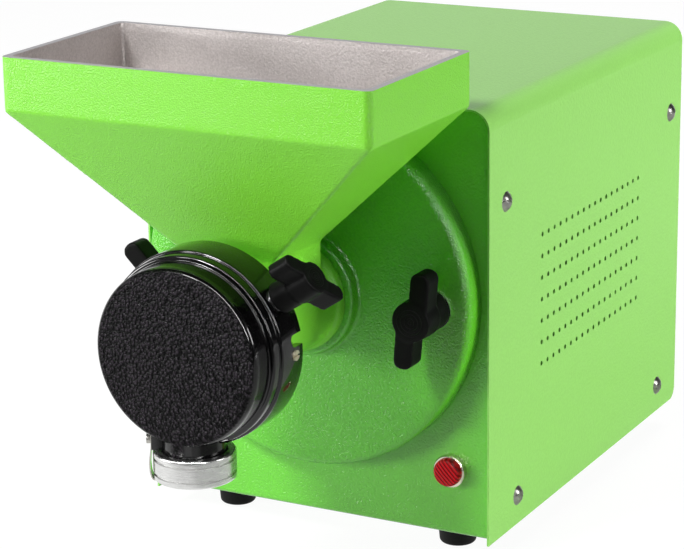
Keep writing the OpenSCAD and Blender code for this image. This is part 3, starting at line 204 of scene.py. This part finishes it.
# Rubber feet
# Four moulded black rubber cones, each held by a screw from below through its hollow middle. Their edges
# are rounded by the mould and the surface is dull.
def turned(profile, rounds, steps=96):
    """A shape turned about Z from points of radius and height, with chosen points' edges rounded."""
    shape = bmesh.new()
    points = [shape.verts.new((radius, 0, height)) for radius, height in profile]
    edges = [shape.edges.new(pair) for pair in zip(points, points[1:])]
    if profile[0][0] > 0:
        edges.append(shape.edges.new((points[-1], points[0])))
    bmesh.ops.spin(shape, geom=points + edges, cent=(0, 0, 0), axis=(0, 0, 1), angle=2 * math.pi, steps=steps,
                   use_merge=True)
    bmesh.ops.remove_doubles(shape, verts=shape.verts, dist=0.000001)
    for number, size in rounds.items():
        radius, height = profile[number]
        ring = [e for e in shape.edges
                if all(abs(v.co.z - height) + abs(v.co.xy.length - radius) < 0.00001 for v in e.verts)]
        bmesh.ops.bevel(shape, geom=ring, offset=size, affect="EDGES", segments=5, profile=0.5, material=-1)
    bmesh.ops.recalc_face_normals(shape, faces=shape.faces)
    return shape


def add_piece(name, shape, materials, body, replaced, smooth=35):
    """Makes a mesh a piece of the grinder: its finish, the body it rides on and the solids it stands for."""
    mesh = bpy.data.meshes.new(name)
    shape.to_mesh(mesh)
    shape.free()
    piece = bpy.data.objects.new(name, mesh)
    bpy.context.scene.collection.objects.link(piece)
    for material in materials:
        mesh.materials.append(material)
    mesh.shade_smooth()
    mesh.set_sharp_from_angle(angle=math.radians(smooth))
    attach(piece, body)
    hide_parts(*replaced)
    return piece


rubber, shader, place = new_finish("foot_rubber", specular_ior_level=0.15)
dust = place.noise(60, 4)
dust.blend((0.004, 0.004, 0.004), (0.010, 0.010, 0.010)).into(shader, "Base Color")
(0.55 + 0.25 * dust).into(shader, "Roughness")
place.noise(900).relief(0.00006).into(shader, "Normal")

low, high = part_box("rubber_feet")
foot_top = high.z
foot_r, foot_tip_r = 12.5 * mm, 11 * mm
foot_hole_r, foot_well_r, foot_well_top = 2.7 * mm, 5.5 * mm, 13.5 * mm
foot_profile = [(foot_hole_r, foot_top), (foot_r, foot_top), (foot_tip_r, 0), (foot_well_r, 0),
                (foot_well_r, foot_well_top), (foot_hole_r, foot_well_top)]
feet = bmesh.new()
foot_mesh = bpy.data.meshes.new("foot")
one_foot = turned(foot_profile, {1: 1 * mm, 2: 2.2 * mm, 3: 0.8 * mm}, 48)
one_foot.to_mesh(foot_mesh)
one_foot.free()
for x in (low.x + foot_r, high.x - foot_r):
    for y in (low.y + foot_r, high.y - foot_r):
        known = set(feet.verts)
        feet.from_mesh(foot_mesh)
        bmesh.ops.translate(feet, verts=[v for v in feet.verts if v not in known], vec=(x, y, 0))
bpy.data.meshes.remove(foot_mesh)
add_piece("feet", feet, [rubber], "housing", ["rubber_feet"])


# Pilot lamp
# A red moulded lens with slanting ribs snaps into a bright bezel on the front panel. Its black body goes
# through the panel and is held by a nut behind it.
bezel_chrome = metal("bezel_chrome", (0.74, 0.67, 0.54), 0.20, 300, 0.00003)
dress(bezel_chrome, "lamp_bezel")

lens_red, shader, place = new_finish("lens_red", specular_ior_level=0.12)
slant = place.part("X") * 0.72 + place.part("Z") * 0.69
ribs = slant.node("ShaderNodeMath", {"operation": "SINE"}, {0: slant * 3100})
# The dark and bright red stripes along the ribs are painted light and shade of the ribs, over their real
# relief.
glow = ribs.rise(-0.9, 0.9) * 0.85 + 0.15 * place.noise(500, 3)
glow.blend((0.26, 0.001, 0.004), (0.88, 0.010, 0.020)).into(shader, "Base Color")
(0.10 + 0.08 * place.noise(900, 1)).into(shader, "Roughness")
ribs.relief(0.00015).into(shader, "Normal")

low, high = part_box("lamp_lens")
lamp_x, lamp_z, lens_r = (low.x + high.x) / 2, (low.z + high.z) / 2, (high.x - low.x) / 2
lens_shape = turned([(0, low.y), (lens_r * 0.9, low.y + 0.5 * mm), (lens_r, low.y + 2 * mm), (lens_r, high.y),
                     (0, high.y)], {1: 1 * mm, 2: 0.9 * mm}, 64)
lens_shape.transform(Matrix.Translation((lamp_x, 0, lamp_z)) @ Matrix.Rotation(-math.pi / 2, 4, "X"))
add_piece("lamp_glass", lens_shape, [lens_red], "housing", ["lamp_lens"], 50)


# Gearbox and motor
# A cast aluminium gearbox with bronze bushes and hardened gears is bolted behind the front panel, and the
# ribbed aluminium motor is bolted to it and lies in a steel cradle. None of it is painted.
cast_aluminium = metal("cast_aluminium", (0.52, 0.52, 0.53), 0.46, 260, 0.00022)
dress(cast_aluminium, "gearbox_plate", "gearbox_case", "motor_shell", "end_shield", "capacitor")
ground_steel = metal("ground_steel", (0.56, 0.56, 0.57), 0.22, 900, 0.00002)
dress(ground_steel, "output_shaft", "layshaft", "motor_shaft", "motor_bearings", "fan_cowl", "motor_cradle",
      "disc_stud_right", "disc_stud_left", "head_stud", "disc_washer_right", "disc_washer_left",
      "head_washer")
gear_steel = metal("gear_steel", (0.30, 0.30, 0.32), 0.34, 700, 0.00005)
dress(gear_steel, "output_wheel", "layshaft_wheel", "layshaft_pinion", "motor_pinion", "fixed_burr",
      "rotating_burr")
bronze = metal("bush_bronze", (0.50, 0.33, 0.14), 0.34, 800, 0.00004)
dress(bronze, "gearbox_bushes", "barrel_bush")

laminated, shader, place = new_finish("laminated_steel", metallic=1.0)
sheets = place.stretched(0.01, 1, 0.01).noise(2600, 0)
sheets.rise(0.35, 0.65).blend((0.22, 0.22, 0.23), (0.46, 0.46, 0.47)).into(shader, "Base Color")
(0.4 + 0.2 * sheets).into(shader, "Roughness")
sheets.relief(0.0001).into(shader, "Normal")
dress(laminated, "stator_core", "rotor_core")

winding, shader, place = new_finish("enamelled_copper", metallic=0.8)
strands = place.stretched(1, 0.2, 1).noise(1400, 1)
strands.blend((0.28, 0.10, 0.03), (0.62, 0.28, 0.10)).into(shader, "Base Color")
(0.25 + 0.2 * strands).into(shader, "Roughness")
strands.relief(0.0004).into(shader, "Normal")
dress(winding, "stator_windings")


# Electrics
# A rocker switch and a mains inlet snap into the rear panel, and a terminal block, the lamp's body and the
# motor's fan are moulded too. Insulated wires join them inside the housing.
def black_moulding(name, dark, light, shine, grain):
    """Satin black plastic with a fine spark-eroded grain from its mould."""
    material, shader, place = new_finish(name, specular_ior_level=0.4)
    cloud = place.noise(35, 3)
    cloud.blend(dark, light).into(shader, "Base Color")
    texture = place.noise(grain, 1)
    (shine - 0.06 + 0.12 * texture).into(shader, "Roughness")
    texture.relief(0.00004, 0.7).into(shader, "Normal")
    return material


def clean(piece):
    """Takes out faces and edges that have no size, as cutting and meshing can leave them."""
    shape = bmesh.new()
    shape.from_mesh(piece.data)
    bmesh.ops.remove_doubles(shape, verts=shape.verts, dist=0.01 * mm)
    bmesh.ops.dissolve_degenerate(shape, dist=0.01 * mm, edges=shape.edges)
    shape.to_mesh(piece.data)
    shape.free()


fitting_black = black_moulding("fitting_black", (0.014, 0.014, 0.015), (0.022, 0.022, 0.023), 0.42, 1500)
dress(fitting_black, "switch_body", "switch_rocker", "power_inlet", "terminal_block", "lamp_body",
      "cooling_fan")
wire_coat = black_moulding("wire_coat", (0.012, 0.012, 0.013), (0.028, 0.028, 0.03), 0.5, 600)
wires = bmesh.new()
wires.from_mesh(nodes["wiring"].data)
clean(add_piece("wires", wires, [wire_coat], "housing", ["wiring"]))


# Mounting disc
# A cast disc with a raised boss carries the barrel and is clamped to the front panel by two wing screws.
# Its edges are rounded by the casting, and its green coat is darker and greener than the cover's and the
# hopper's, with a deeper peel; the darker, greener tone is partly painted shade for the hopper's shadow over
# the disc.
# Darker and greener than the hopper's coat of the same paint, partly as painted shade.
cast_green_with_painted_shade = green_coat("cast_green_with_painted_shade", (0.118, 0.585, 0.016), 0.68, 900, 0.0006, 0.87)


def settle(piece):
    """Makes what a piece's modifiers give its own mesh."""
    shown = piece.evaluated_get(bpy.context.evaluated_depsgraph_get())
    plain = piece.data
    piece.data = bpy.data.meshes.new_from_object(shown)
    piece.modifiers.clear()
    bpy.data.meshes.remove(plain)


def carve(piece, tool, operation="DIFFERENCE"):
    """Cuts a closed shape out of a piece, or joins it on."""
    mesh = bpy.data.meshes.new("tool")
    tool.to_mesh(mesh)
    tool.free()
    cutter = bpy.data.objects.new("tool", mesh)
    bpy.context.scene.collection.objects.link(cutter)
    change = piece.modifiers.new("carve", "BOOLEAN")
    change.operation = operation
    change.solver = "EXACT"
    change.object = cutter
    settle(piece)
    bpy.data.objects.remove(cutter)
    bpy.data.meshes.remove(mesh)
    piece.data.shade_smooth()
    piece.data.set_sharp_from_angle(angle=math.radians(35))


def bar(radius, length, place, steps=48):
    """A round bar that starts at the origin of its place and runs along its Z."""
    shape = bmesh.new()
    bmesh.ops.create_cone(shape, cap_ends=True, segments=steps, radius1=radius, radius2=radius, depth=length)
    bmesh.ops.translate(shape, verts=shape.verts, vec=(0, 0, length / 2))
    shape.transform(place)
    return shape


low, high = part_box("mounting_disc")
axis_z = (low.z + high.z) / 2
panel = high.y
disc_r = (high.x - low.x) / 2
boss_r, barrel_hole_r, recess_r, stud_hole_r = 37 * mm, 23.05 * mm, 40.3 * mm, 4.3 * mm
disc_face, boss_face, recess = panel - 17 * mm, low.y, panel - 5 * mm
along_axis = Matrix.Translation((0, 0, axis_z)) @ Matrix.Rotation(-math.pi / 2, 4, "X")
disc_shape = turned([(barrel_hole_r, boss_face), (boss_r, boss_face), (boss_r, disc_face),
                     (disc_r, disc_face), (disc_r, panel), (recess_r, panel), (recess_r, recess),
                     (barrel_hole_r, recess)],
                    {1: 2 * mm, 2: 2.5 * mm, 3: 5 * mm, 4: 0.6 * mm}, 160)
disc_shape.transform(along_axis)
disc = add_piece("disc", disc_shape, [cast_green_with_painted_shade], "grinding_unit", ["mounting_disc"])
for name in ("disc_washer_right", "disc_washer_left"):
    low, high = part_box(name)
    stud = (Matrix.Translation(((low.x + high.x) / 2, disc_face - 1 * mm, axis_z))
            @ Matrix.Rotation(-math.pi / 2, 4, "X"))
    carve(disc, bar(stud_hole_r, 20 * mm, stud))


# Hopper and barrel
# One aluminium casting: a rectangular funnel on a neck, which opens into the barrel. Outside it has a
# green coat over soft cast edges; inside it is bare, and the rim is milled flat.
hopper_green = green_coat("hopper_green", (0.228, 0.72, 0.044), 0.5, 1150, 0.00036, 0.92)

bare_casting, shader, place = new_finish("bare_casting", metallic=0.55)
pits = place.noise(800, 2)
stains = place.noise(22, 4)
mottle = 0.45 * stains + 0.55 * pits
mottle.rise(0.25, 0.75).blend((0.48, 0.445, 0.43), (0.70, 0.655, 0.64)).into(shader, "Base Color")
(0.34 + 0.14 * pits).into(shader, "Roughness")
scratches = place.stretched(1, 0.25, 0.12).noise(900, 1)
(0.7 * pits + 0.3 * scratches).relief(0.0003).into(shader, "Normal")

milled, shader, place = new_finish("milled_rim", metallic=0.9)
cuts = place.stretched(0.3, 1, 1).noise(1200, 1)
cuts.blend((0.42, 0.40, 0.42), (0.56, 0.54, 0.56)).into(shader, "Base Color")
(0.30 + 0.12 * cuts).into(shader, "Roughness")
cuts.relief(0.00006).into(shader, "Normal")

low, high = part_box("hopper_casting")
rim_z, rim_back = high.z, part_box("mounting_disc")[0].y - 2 * mm
rim_front = rim_back - 120 * mm
neck_z = rim_z - 112 * mm
trim = 1.8 * mm
bare_r, bare_half_w = 30 * mm, 23.6 * mm
casting = bmesh.new()
casting.from_mesh(nodes["hopper_casting"].data)
bmesh.ops.remove_doubles(casting, verts=casting.verts, dist=0.000001)
hopper = add_piece("hopper", casting, [hopper_green, bare_casting, milled], "grinding_unit",
                   ["hopper_casting"])
skin = hopper.modifiers.new("skin", "REMESH")
skin.mode = "VOXEL"
skin.voxel_size = 1.15 * mm
soften = hopper.modifiers.new("soften", "SMOOTH")
soften.factor = 0.5
soften.iterations = 6
thin = hopper.modifiers.new("thin", "DECIMATE")
thin.ratio = 0.4
settle(hopper)

casting = bmesh.new()
casting.from_mesh(hopper.data)
cut = bmesh.ops.bisect_plane(casting, geom=casting.verts[:] + casting.edges[:] + casting.faces[:],
                             plane_co=(0, 0, rim_z - trim), plane_no=(0, 0, 1), clear_outer=True)
loops = [e for e in cut["geom_cut"] if isinstance(e, bmesh.types.BMEdge)]
cap = bmesh.ops.triangle_fill(casting, edges=loops, use_beauty=True, normal=(0, 0, 1))
cap_faces = [f for f in cap["geom"] if isinstance(f, bmesh.types.BMFace)]
raised = bmesh.ops.extrude_face_region(casting, geom=cap_faces)
rim_points = [v for v in raised["geom"] if isinstance(v, bmesh.types.BMVert)]
bmesh.ops.translate(casting, verts=rim_points, vec=(0, 0, trim))
bmesh.ops.delete(casting, geom=cap_faces, context="FACES_ONLY")
bmesh.ops.recalc_face_normals(casting, faces=casting.faces)
middle_y = (rim_front + rim_back) / 2
for face in casting.faces:
    spot = face.calc_center_median()
    inward = face.normal.dot(Vector((-spot.x, middle_y - spot.y, 0.25 * abs(spot.x) + 0.02)))
    if spot.z > rim_z - 0.1 * mm:
        face.material_index = 2
    elif spot.z > neck_z and inward > 0:
        face.material_index = 1
    elif (spot - Vector((0, spot.y, axis_z))).length < bare_r and abs(spot.x) < bare_half_w:
        face.material_index = 1
    else:
        face.material_index = 0
casting.to_mesh(hopper.data)
casting.free()
clean(hopper)
hopper.data.shade_smooth()
hopper.data.set_sharp_from_angle(angle=math.radians(50))


# Feed screw
# A turned steel shaft with a welded flight pushes the nuts along the barrel, and carries the turning burr
# on its front end. It is polished by use.
screw_steel = metal("screw_steel", (0.60, 0.60, 0.60), 0.24, 350, 0.00006)
dress(screw_steel, "auger_shaft", "auger_flight")


# Grinding head
# A black cast drum closes the burrs in: its ring goes over the barrel's flange, and a spout points down.
# Its black coat dries to a coarse wrinkle on the flat front, and is smooth and glossy round the edges.
wrinkle_black, shader, place = new_finish("wrinkle_black", specular_ior_level=0.08, coat_roughness=0.07)
head_low, head_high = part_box("grinding_head")
front = place.part("Y").rise(head_low.y + 1.4 * mm, head_low.y + 0.4 * mm)
drift = place.node("ShaderNodeTexNoise", {}, {"Vector": place, "Scale": 300}, 1)
warped = drift.node("ShaderNodeVectorMath", {"operation": "MULTIPLY_ADD"},
                    {0: drift, 1: (0.002,) * 3, 2: place})
cells = warped.node("ShaderNodeTexVoronoi", {}, {"Vector": warped, "Scale": 580})
folds = 1 - cells
fine = place.noise(1300, 1)
drum = place.part("Y").rise(head_low.y + 3.5 * mm, head_low.y + 6 * mm)
plain = drum - place.part("Y").rise(head_high.y - 31.5 * mm, head_high.y - 29.5 * mm)
# On the front the wrinkle's crests are painted lighter and its valleys near black. This is a painted
# highlight and painted shade of the folds, and the front is painted lighter than the sides.
painted_fold_light = folds.rise(0.50, 0.70) * (0.04 + 0.96 * front)
painted_fold_light.blend((0.0008, 0.0007, 0.0009), (0.024, 0.019, 0.025)).into(shader, "Base Color")
(0.22 + 0.08 * fine + 0.08 * front).into(shader, "Roughness")
(0.9 * (1 - front) * (1 - 0.75 * plain)).into(shader, "Coat Weight")
((0.1 + 0.9 * front) * folds + 0.04 * fine).relief(0.0009).into(shader, "Normal")

face_y, back_y = head_low.y, head_high.y
inside_y = face_y + 4.5 * mm
ring_y, lip_y = back_y - 22.5 * mm, back_y - 29 * mm
seat_y = back_y - 18.3 * mm
drum_r, lip_r, ring_r = 50.5 * mm, 53.5 * mm, 55 * mm
ring_bore_r, drum_bore_r = 50 * mm, 46 * mm
head_rounds = {1: 4 * mm, 2: 0.8 * mm, 3: 1.4 * mm, 4: 0.5 * mm, 5: 1.3 * mm, 6: 0.8 * mm, 7: 0.6 * mm}
head_shape = turned([(0, face_y), (drum_r, face_y), (drum_r, lip_y), (lip_r, lip_y), (lip_r, ring_y),
                     (ring_r, ring_y), (ring_r, back_y), (ring_bore_r, back_y), (ring_bore_r, seat_y),
                     (drum_bore_r, seat_y), (drum_bore_r, inside_y), (0, inside_y)], head_rounds, 192)
head_shape.transform(along_axis)
head = add_piece("head", head_shape, [wrinkle_black], "head", ["grinding_head"])
outlet_low, outlet_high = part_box("outlet_ring")
outlet_y = (outlet_low.y + outlet_high.y) / 2
spout_z = outlet_low.z + 2 * mm
spout_r, spout_bore_r = 18 * mm, 14 * mm
spout_len = axis_z - 47 * mm - spout_z
carve(head, bar(spout_r, spout_len, Matrix.Translation((0, outlet_y, spout_z)), 96), "UNION")
clip_turn = Matrix.Translation((0, outlet_y, 0)) @ Matrix.Rotation(math.radians(208), 4, "Z")
lug = bmesh.new()
bmesh.ops.create_cube(lug, size=1)
bmesh.ops.scale(lug, verts=lug.verts, vec=(8 * mm, 10 * mm, 17 * mm))
lug.transform(clip_turn @ Matrix.Translation((19.4 * mm, 0, outlet_high.z + 9.5 * mm)))
carve(head, lug, "UNION")
carve(head, bar(spout_bore_r, axis_z - spout_z, Matrix.Translation((0, outlet_y, spout_z - 1 * mm)), 96))


def on_radius(y, degrees):
    """A place on the head's axis at y, with its Z pointing out along a radius at an angle above level."""
    return Matrix.Translation((0, y, axis_z)) @ Matrix.Rotation(math.radians(90 - degrees), 4, "Y")


notch_w, notch_len, notch_round, notch_degrees = 7 * mm, 24 * mm, 3.4 * mm, 7.9
notch = bmesh.new()
bmesh.ops.create_cube(notch, size=1)
bmesh.ops.scale(notch, verts=notch.verts, vec=(notch_w, notch_len, 20 * mm))
upright = [e for e in notch.edges if abs(e.verts[0].co.z - e.verts[1].co.z) > 10 * mm]
bmesh.ops.bevel(notch, geom=upright, offset=notch_round, affect="EDGES", segments=8, profile=0.5, material=-1)
notch.transform(on_radius(back_y, notch_degrees) @ Matrix.Translation((0, 0, 54 * mm)))
carve(head, notch)
clamp_y, clamp_degrees, clamp_hole_r = (back_y + ring_y) / 2, 33.5, 4.05 * mm
clamp_hole = on_radius(clamp_y, clamp_degrees) @ Matrix.Translation((0, 0, 44 * mm))
carve(head, bar(clamp_hole_r, 20 * mm, clamp_hole))
stop_y, stop_degrees, stop_r, stop_seat = back_y - 8.5 * mm, -0.5, 3.2 * mm, 53.6 * mm
spot_face = on_radius(stop_y, stop_degrees) @ Matrix.Translation((0, 0, stop_seat))
carve(head, bar(stop_r, 8 * mm, spot_face))
clean(head)


# Outlet ring and its spring
# A turned aluminium ring hangs on the spout and can be turned on it; a thin spring strip, screwed to the
# head, hooks under it and keeps it up. The ring's lathe marks run round it.
lathe_bright, shader, place = new_finish("lathe_bright", metallic=1.0)
marks = place.stretched(0.05, 0.05, 1).noise(3000, 1)
streaks = place.stretched(0.4, 0.4, 0.08).noise(160, 2)
tone = 0.6 * marks + 0.4 * streaks
tone.rise(0.3, 0.7).blend((0.62, 0.62, 0.61), (0.77, 0.77, 0.76)).into(shader, "Base Color")
(0.17 + 0.16 * marks).into(shader, "Roughness")
marks.relief(0.00004).into(shader, "Normal")

bottom, top = outlet_low.z, outlet_high.z
collar_r, groove_r, collar_bore_r = 23 * mm, 22.1 * mm, 18.4 * mm
outlet_shape = turned([(collar_bore_r, bottom), (collar_r, bottom),
                       (collar_r, bottom + 3 * mm), (groove_r, bottom + 3.5 * mm),
                       (groove_r, bottom + 4.1 * mm), (collar_r, bottom + 4.6 * mm),
                       (collar_r, top - 4.6 * mm), (groove_r, top - 4.1 * mm),
                       (groove_r, top - 3.5 * mm), (collar_r, top - 3 * mm),
                       (collar_r, top), (collar_bore_r, top)],
                      {0: 0.5 * mm, 1: 0.9 * mm, 10: 1.1 * mm, 11: 0.6 * mm}, 128)
outlet_shape.transform(Matrix.Translation((0, outlet_y, 0)))
add_piece("outlet_collar", outlet_shape, [lathe_bright], "outlet", ["outlet_ring"], 25)

spring_steel = metal("spring_steel", (0.62, 0.60, 0.55), 0.24, 300, 0.00008)
spring_t, spring_w, spring_x = 0.7 * mm, 8 * mm, 23.8 * mm
spring_bow = [(0, top + 10 * mm), (0, top + 3 * mm), (0.3 * mm, top), (0.9 * mm, top - 4 * mm),
              (1.2 * mm, top - 8 * mm), (1.0 * mm, bottom + 4 * mm), (0.4 * mm, bottom + 1 * mm),
              (-0.4 * mm, bottom - 0.6 * mm), (-1.6 * mm, bottom - 1.2 * mm), (-3.6 * mm, bottom - 1.25 * mm)]
strip = bmesh.new()
bend = [strip.verts.new((spring_x + out, -spring_w / 2, height)) for out, height in spring_bow]
line = [strip.edges.new(pair) for pair in zip(bend, bend[1:])]
far = bmesh.ops.extrude_edge_only(strip, edges=line)["geom"]
bmesh.ops.translate(strip, verts=[v for v in far if isinstance(v, bmesh.types.BMVert)], vec=(0, spring_w, 0))
bmesh.ops.recalc_face_normals(strip, faces=strip.faces)
bmesh.ops.solidify(strip, geom=strip.faces[:], thickness=spring_t)
bmesh.ops.recalc_face_normals(strip, faces=strip.faces)
strip.transform(clip_turn)
add_piece("spring", strip, [spring_steel], "head", ["outlet_clip"], 40)


# Wing knobs
# Moulded black plastic knobs on steel studs: a round hub with two lobes set off to either side, so that
# the wing makes a slight S. Their edges are well rounded, and rings are moulded into the hub's front.
def wing_knob(name, node, body, seat, height, wing, hub):
    """A wing knob whose base is at its seat's origin, with its axis along the seat's Z."""
    material, shader, place = new_finish(name + "_black", specular_ior_level=0.07)
    middle = seat.inverted()
    turned_place = place.node("ShaderNodeMapping", {"vector_type": "POINT"}, {
        "Vector": place, "Location": middle.translation, "Rotation": middle.to_euler()})
    flat = turned_place.node("ShaderNodeVectorMath", {"operation": "MULTIPLY"},
                             {0: turned_place, 1: (1, 1, 0)})
    out = flat.node("ShaderNodeVectorMath", {"operation": "LENGTH"}, {0: flat}, 1)
    waves = out.node("ShaderNodeMath", {"operation": "SINE"}, {0: out * (2 * math.pi / (2.4 * mm))})
    rings = waves.rise(-0.2, 0.5)
    front_only = turned_place.part("Z").rise(height - 2.5 * mm, height - 1.2 * mm)
    ringed = rings * front_only * (1 - out.rise(hub * 0.72, hub * 0.76))
    place.noise(40, 3).blend((0.003, 0.003, 0.003), (0.006, 0.006, 0.006)).into(shader, "Base Color")
    texture = place.noise(1400, 1)
    (0.36 + 0.14 * texture).into(shader, "Roughness")
    (ringed + 0.08 * texture).relief(0.0005).into(shader, "Normal")

    lobe_w, lobe_h = hub * 0.96, height * 0.52
    aside = hub - lobe_w / 2 - 2.8 * mm
    shape = bar(hub - 0.6 * mm, height - lobe_h + 2 * mm, Matrix())
    crown = bmesh.new()
    crown_mesh = bpy.data.meshes.new("crown")
    bmesh.ops.create_cone(crown, cap_ends=True, segments=64, radius1=hub, radius2=hub - 0.4 * mm,
                          depth=lobe_h)
    bmesh.ops.translate(crown, verts=crown.verts, vec=(0, 0, height - lobe_h / 2))
    for sign in (1, -1):
        lobe = bmesh.ops.create_cube(crown, size=1)["verts"]
        bmesh.ops.scale(crown, verts=lobe, vec=(lobe_w, wing / 2, lobe_h - 0.4 * mm))
        tip = [e for e in crown.edges if e.verts[0] in lobe and e.verts[1] in lobe
               and e.verts[0].co.y * sign > 0 and e.verts[1].co.y * sign > 0
               and abs(e.verts[0].co.z - e.verts[1].co.z) > 1 * mm]
        known = set(crown.verts) - set(lobe)
        bmesh.ops.bevel(crown, geom=tip, offset=lobe_w * 0.42, affect="EDGES", segments=6, profile=0.5,
                        material=-1)
        lobe = [v for v in crown.verts if v not in known]
        shift = (sign * aside, sign * wing / 4, height - lobe_h / 2 - 0.2 * mm)
        bmesh.ops.translate(crown, verts=lobe, vec=shift)
    crown.to_mesh(crown_mesh)
    crown.free()
    shape.from_mesh(crown_mesh)
    bpy.data.meshes.remove(crown_mesh)
    shape.transform(seat)
    knob = add_piece(name, shape, [material], body, [node])
    skin = knob.modifiers.new("skin", "REMESH")
    skin.mode = "VOXEL"
    skin.voxel_size = 0.7 * mm
    soften = knob.modifiers.new("soften", "SMOOTH")
    soften.factor = 0.5
    soften.iterations = 9
    settle(knob)
    knob.data.shade_smooth()


for name, node, body, washer, degrees in (
        ("right_wing_knob", "disc_knob_right", "right_knob", "disc_washer_right", -5),
        ("left_wing_knob", "disc_knob_left", "left_knob", "disc_washer_left", 45)):
    low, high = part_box(washer)
    seat = (Matrix.Translation(((low.x + high.x) / 2, low.y, axis_z)) @ Matrix.Rotation(math.pi / 2, 4, "X")
            @ Matrix.Rotation(math.radians(degrees), 4, "Z"))
    wing_knob(name, node, body, seat, 28 * mm, 58 * mm, 12 * mm)
head_seat = (on_radius(clamp_y, clamp_degrees) @ Matrix.Translation((0, 0, 56.65 * mm))
             @ Matrix.Rotation(math.radians(141), 4, "Z"))
wing_knob("head_wing_knob", "head_knob", "clamp_knob", head_seat, 27 * mm, 44 * mm, 9.5 * mm)


# Studio
# White paper that ends a little in front of the grinder, a pale wall behind it and a dim room before it.
# Three lights are in front on the left, one is on the right and one is above the back, and three more only
# show in gloss. The paper shows white and keeps the grinder's shadow.
def seen_by_eye(light_path, where_white):
    """Two shares: of rays that see the studio white, and of rays that only carry light between surfaces."""
    glossy = Surface(light_path.outputs["Is Glossy Ray"])
    reflected = glossy + Surface(light_path.outputs["Is Transmission Ray"])
    direct = Surface(light_path.outputs["Is Camera Ray"])
    seen = direct + reflected * where_white
    return seen.maths("MINIMUM", seen, 1), 1 - direct - reflected


floor_shape = bmesh.new()
bmesh.ops.create_grid(floor_shape, x_segments=1, y_segments=1, size=6)
floor_mesh = bpy.data.meshes.new("floor")
floor_shape.to_mesh(floor_mesh)
floor_shape.free()
floor = bpy.data.objects.new("floor", floor_mesh)
bpy.context.scene.collection.objects.link(floor)
paper = bpy.data.materials.new("studio_paper")
paper.use_nodes = True
paper_nodes = paper.node_tree.nodes
paper_nodes.remove(paper_nodes["Principled BSDF"])
place = Surface(paper_nodes.new("ShaderNodeTexCoord").outputs["Object"])
on_paper = place.part("Y").rise(-0.66, -0.54)
left_of_side = place.part("X").rise(0.14, 0.10)
seen = seen_by_eye(paper_nodes.new("ShaderNodeLightPath"), on_paper * left_of_side)[0]
tone = on_paper.blend((0.1, 0.1, 0.1), (0.6, 0.6, 0.6))
matt = seen.node("ShaderNodeBsdfDiffuse", {}, {"Color": tone})
glow = seen.node("ShaderNodeEmission", {}, {"Color": (1, 1, 1, 1), "Strength": 1.1})
both = seen.node("ShaderNodeMixShader", {}, {0: seen * 0.87, 1: matt, 2: glow})
both.into(paper_nodes["Material Output"], "Surface")
floor_mesh.materials.append(paper)

world = bpy.data.worlds.new("studio")
world.use_nodes = True
bpy.context.scene.world = world
backdrop = world.node_tree.nodes["Background"]
backdrop.inputs["Color"].default_value = (1, 1, 1, 1)
towards = Surface(world.node_tree.nodes.new("ShaderNodeTexCoord").outputs["Generated"])
wall_direction = (-0.47, 0.88, 0)
ahead = towards.node("ShaderNodeVectorMath", {"operation": "DOT_PRODUCT"}, {0: towards, 1: wall_direction}, 1)
wall = 0.02 + 0.7 * ahead.rise(0.6, 0.85)
seen, unseen = seen_by_eye(world.node_tree.nodes.new("ShaderNodeLightPath"), wall)
(seen + 0.02 * unseen).into(backdrop, "Strength")


def soft_light(name, place, target, width, height, watts, lean=0, lights=True, shines=True):
    """A rectangular studio light that faces a point: it can light matt surfaces, shine in gloss, or both."""
    data = bpy.data.lights.new(name, "AREA")
    data.shape = "RECTANGLE"
    data.size = width
    data.size_y = height
    data.energy = watts
    light = bpy.data.objects.new(name, data)
    away = Vector(place) - Vector(target)
    light.matrix_world = (Matrix.Translation(place) @ away.to_track_quat("Z", "Y").to_matrix().to_4x4()
                          @ Matrix.Rotation(math.radians(lean), 4, "Z"))
    light.visible_diffuse = lights
    light.visible_glossy = shines
    bpy.context.scene.collection.objects.link(light)


soft_light("key", (-0.62, -1.8, 1.75), (0, -0.1, 0.2), 0.5, 0.5, 49.5)
soft_light("low", (-1.5, -1.3, 0.3), (0, -0.1, 0.15), 0.7, 0.5, 21)
soft_light("glint", (-1.0, -1.75, 0.75), (0, -0.1, 0.2), 0.14, 0.14, 2.2)
soft_light("right", (2.0, 0.7, 0.16), (0.1, 0.1, 0.16), 1.2, 0.28, 38, shines=False)
soft_light("glint_right", (1.62, 0.26, 0.63), (0.1, 0.1, 0.15), 0.5, 0.5, 8, lights=False)
soft_light("top", (0.1, 1.2, 1.55), (0, 0.1, 0.26), 0.5, 0.5, 14, shines=False)
soft_light("edge_right", (0.93, -1.21, 1.05), (0, -0.2, 0.17), 0.08, 1.6, 26, 36, lights=False)
soft_light("edge_left", (-0.36, -1.28, 1.36), (0, -0.2, 0.17), 0.08, 1.5, 20, -64, lights=False)

bpy.context.scene.view_settings.view_transform = "Standard"
